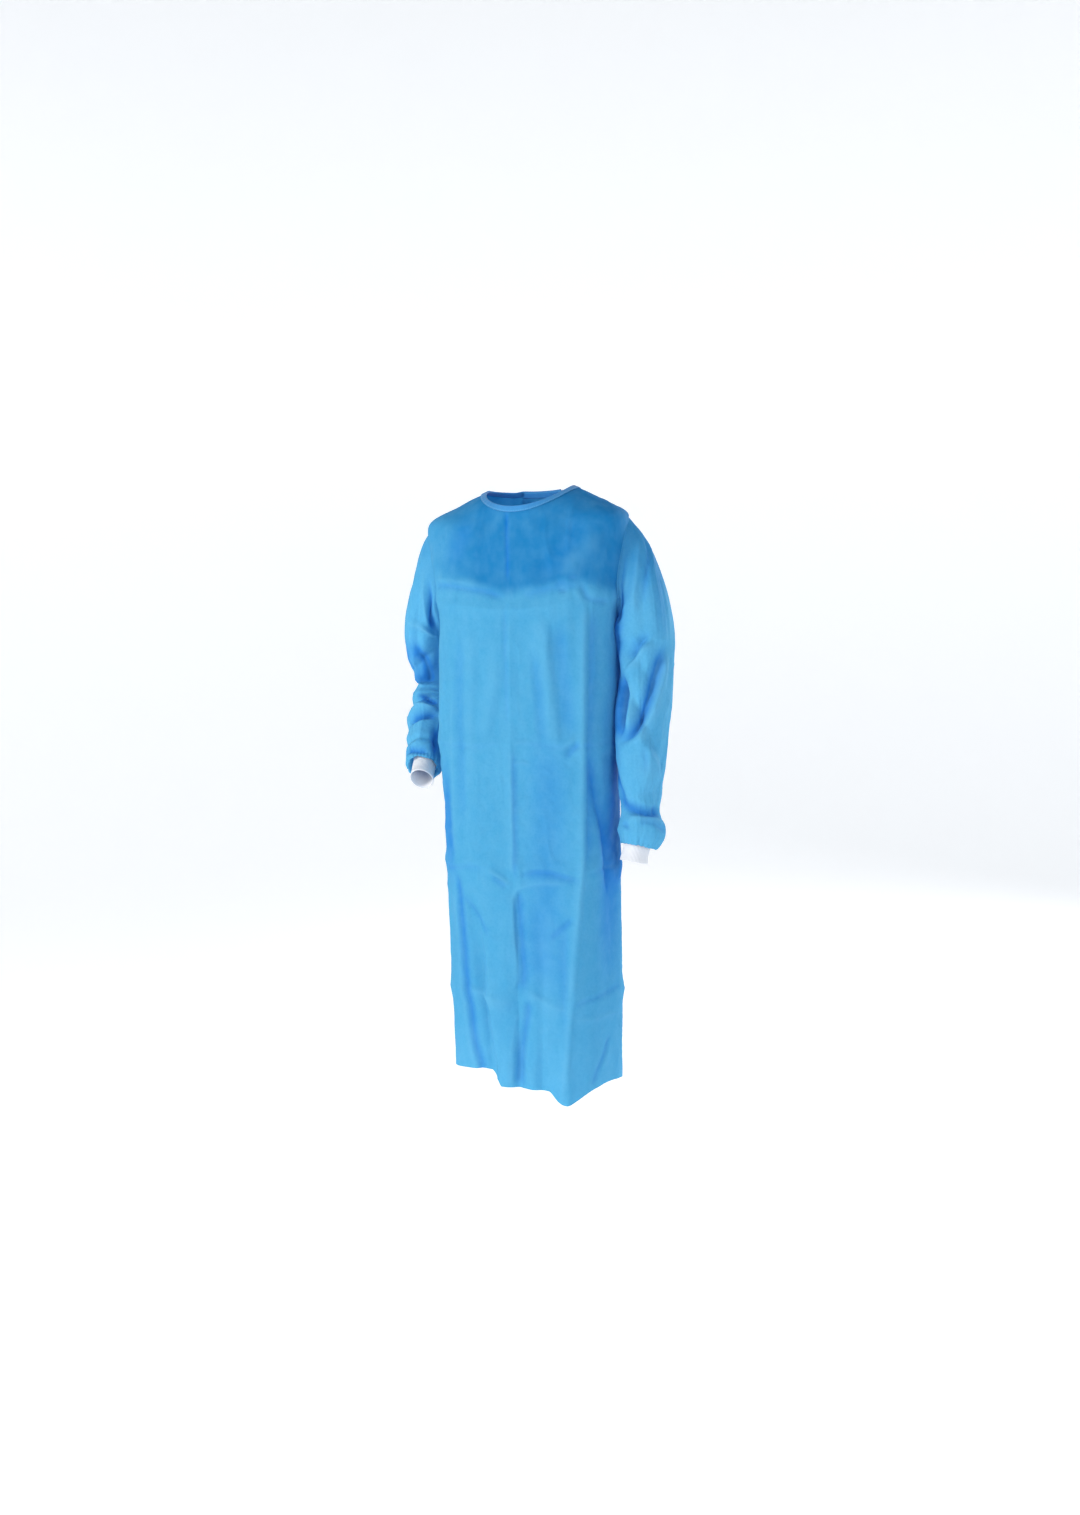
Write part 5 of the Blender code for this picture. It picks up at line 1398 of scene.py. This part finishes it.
def tape_piece(name, first, last, out, wall):
    """A thin strip with rounded edges round the back, so far out from the body's cloth."""
    angles, levels = np.meshgrid(np.linspace(last, first, 24), np.linspace(TAB_LOW, TAB_TOP, 12))
    top = raised(angles, levels, out(angles))
    to_back, centre = -body_normal(angles, levels) * wall, top.mean(axis=(0, 1))
    index = np.arange(angles.size).reshape(angles.shape)
    corners = (index[:-1, :-1], index[:-1, 1:], index[1:, 1:], index[1:, :-1])
    faces = [tuple(face) for face in np.stack(corners, axis=-1).reshape(-1, 4)]
    points = (centre + (top - centre) * 0.90).reshape(-1, 3)
    before = rim_of(index)
    for size, share in TAPE_EDGE:
        now = len(points) + np.arange(len(before))
        points = np.concatenate([points, rim_of(centre + (top - centre) * size + to_back * share)])
        faces += list(zip(before, now, np.roll(now, -1), np.roll(before, -1)))
        before = now
    faces.append(tuple(before[::-1]))
    place = points[np.concatenate(faces)] - top[0, 0]
    sides = [unit(top[0, -1] - top[0, 0]), unit(top[-1, 0] - top[0, 0])]
    return make_piece(name, points, faces, place @ np.transpose(sides), {})


def patch_out(angles):
    return np.full(angles.shape, LAY_GAP + PATCH_WALL)


def tab_out(angles):
    """The tab lies on its patch, and steps up on to the right back that laps over it."""
    over_patch = patch_out(angles) + LAY_GAP + TAB_WALL
    over_panel = LAP_LIFT + LAY_GAP + TAB_WALL
    return over_patch + (over_panel - over_patch) * smooth((angles - 54.0) / 5.0)


patch = tape_piece("tab_patch_tape", *PATCH_ANGLES, patch_out, PATCH_WALL)
put_on(patch, tape("white loop tape", "loops"), "tab_patch")

tab = tape_piece("neck_tab_tape", *TAB_ANGLES, tab_out, TAB_WALL)
put_on(tab, tape("white hook tape", "hooks"), "neck_tab")


# Waist ties
# Flat ties of folded cloth, sewn into the side seams, drawn round the back over the lap and tied in
# a bow behind.

TIE_WALL, LOOP_WALL, TIE_BLUE = 0.0010, 0.0009, (0.070, 0.350, 0.640)
STRIP_EDGE, STRIP_WAVE = 0.0004, 0.0004
TIE_SEAM, TIE_STITCH = 0.0026, 0.0012
KNOT = (0.013, 0.009, 0.012)
LOOP_START, LOOP_LENGTH, LOOP_OFF, LOOP_FULL = 0.006, 0.074, 0.0092, 0.0035
LOOP_DROPS = {"left": 28.0, "right": 31.0}
Tail = namedtuple("Tail", "name angle spread length off knot_off")
TAILS = (
    Tail("tie_tail_left", 87.0, -6.0, 0.23, 0.0034, 0.0044),
    Tail("tie_tail_right", 94.0, 7.0, 0.26, 0.0056, 0.0068),
)
tie_cloth = stitched_cloth("blue tie cloth", TIE_BLUE)


def level_at(height):
    levels = np.linspace(0, UNDERARM, 501)
    return np.interp(height, ring_value("side_z", levels), levels)


def ribbon(node, path, wide, width, wall):
    """A flat strip with rounded edges along a path, its width along one direction."""
    forward = unit(np.gradient(path, axis=0))
    wide = np.broadcast_to(wide, path.shape)
    wide = unit(wide - (wide * forward).sum(-1, keepdims=True) * forward)
    thick = unit(np.cross(wide, forward))
    face = np.linspace(-1, 1, 13) * (width / 2 - STRIP_EDGE)
    profile = [(side, wall / 2) for side in face]
    profile += [(width / 2, 0.15 * wall), (width / 2, -0.15 * wall)]
    profile += [(-side, -out) for side, out in profile]
    side, out = np.array(profile).T
    steps = lengths_along(path)
    wave = STRIP_WAVE * crumple(steps, steps * 0, 0.012, 1.0, 91)
    grid = path[:, None] + wide[:, None] * side[:, None]
    grid = grid + thick[:, None] * (out + wave[:, None])[..., None]
    across, up = np.broadcast_arrays(steps[:, None], side)
    line = np.exp(-(((np.abs(up) - width / 2 + TIE_SEAM) / TIE_STITCH) ** 2))
    piece = cloth_piece(
        f"{node}_strip", grid, across, up, {"stitch_line": line}, closed=True, ends="capped"
    )
    put_on(piece, tie_cloth, node)


lap_edge = BACK - BACK_LAP
waist = level_at(TIE_HEIGHT)
knot_edge = np.degrees(np.arctan2(KNOT[0] - 0.003, ring_value("back", waist)))
tie_angles = {
    "left": np.linspace(SIDE_SEAM + 0.5, BACK - knot_edge, 90),
    "right": np.linspace(BACK + knot_edge, 180.0 - SIDE_SEAM - 0.5, 90),
}
for side_name, angles in tie_angles.items():
    over = smooth((angles - lap_edge + 5.0) / 5.0) if side_name == "left" else 1.0
    lift = over * lap_lift(np.maximum(angles, lap_edge), waist)
    path = raised(angles, waist, lift + LAY_GAP + TIE_WALL / 2 + HALF_WALL)
    node = f"waist_tie_{side_name}"
    ribbon(node, path, (0.0, 0.0, 1.0), TIE_WIDTH, TIE_WALL)

# The knot: the right tie passes once round the crossing, so folded cloth wraps it slantwise
knot_centre = raised(BACK, waist, lap_lift(BACK, waist) + LAY_GAP + KNOT[1])
turn, high = np.meshgrid(np.linspace(0, 2 * np.pi, 61)[:-1], np.linspace(-1, 1, 25))
wrap = 0.93 + 0.07 * np.abs(np.sin(2.5 * (high + 0.35 * np.cos(turn)) * np.pi / 1.6)) ** 0.7
ring = (1 - np.abs(high) ** 2.6) ** (1 / 2.2) * wrap
x, y = (np.sign(part) * np.abs(part) ** 0.8 for part in (np.cos(turn), np.sin(turn)))
knot_grid = np.stack([ring * x, ring * y, high * (0.96 + 0.04 * wrap)], axis=-1) * KNOT + knot_centre
knot = cloth_piece(
    "tie_knot_wrap", knot_grid, turn * 0.011, high * KNOT[2], {"stitch_line": 0 * turn},
    closed=True, ends="capped",
)
put_on(knot, tie_cloth, "tie_knot")

low_level = level_at(TIE_HEIGHT - 0.04)
loop_base = raised(BACK, low_level, lap_lift(BACK, low_level) + LOOP_OFF)[1]
loop_place = np.array([knot_centre[0], loop_base, knot_centre[2]])
bend = LOOP_LENGTH - LOOP_FULL
run = np.linspace(0.0, 1.0, 18)
turn = np.linspace(-np.pi / 2, np.pi / 2, 13)
off = LOOP_START + (bend - 2 * LOOP_START) * run
near_run = np.stack([off, 0.001 - 0.0018 * np.sin(np.pi * run)], axis=-1)
far_run = 2 * LOOP_FULL + 0.0022 * np.sin(np.pi * run) - 0.004 * (1 - run) ** 3
far_run = np.stack([off, far_run], axis=-1)[::-1]
round_end = np.stack([1.1 * np.cos(turn), 1 + np.sin(turn)], axis=-1) * LOOP_FULL + (bend - 0.001, 0)
along_loop, behind = np.concatenate([near_run, round_end, far_run]).T[..., None]
for side_name, drop in LOOP_DROPS.items():
    slope = np.radians(drop)
    outward = np.array([SIGN[side_name] * np.cos(slope), 0.0, -np.sin(slope)])
    path = loop_place + outward * along_loop + np.array([0.0, 1.0, 0.0]) * behind
    path[:, 2:] -= 0.004 * (along_loop / LOOP_LENGTH) ** 2
    wide = np.cross(outward, [0.0, 1.0, 0.0])
    node = f"tie_loop_{side_name}"
    ribbon(node, path, wide, TIE_WIDTH * 0.9, LOOP_WALL)

run = np.linspace(0.0, 1.0, 60)
for tail in TAILS:
    levels = level_at(TIE_HEIGHT - 0.008 - tail.length * run)
    angles = tail.angle + tail.spread * run + 0.8 * np.sin(run * 7.0) * run
    off = tail.off + HALF_WALL + (tail.knot_off - tail.off) * smooth(1 - 5 * run)
    off = off + 0.0018 * np.sin(run * 9.0 + tail.angle) ** 2 * smooth(run * 3)
    path = raised(angles, levels, lap_lift(angles, levels) + off)
    wide = body(angles - 1, levels) - body(angles + 1, levels)
    ribbon(tail.name, path, wide, TIE_WIDTH, TIE_WALL)
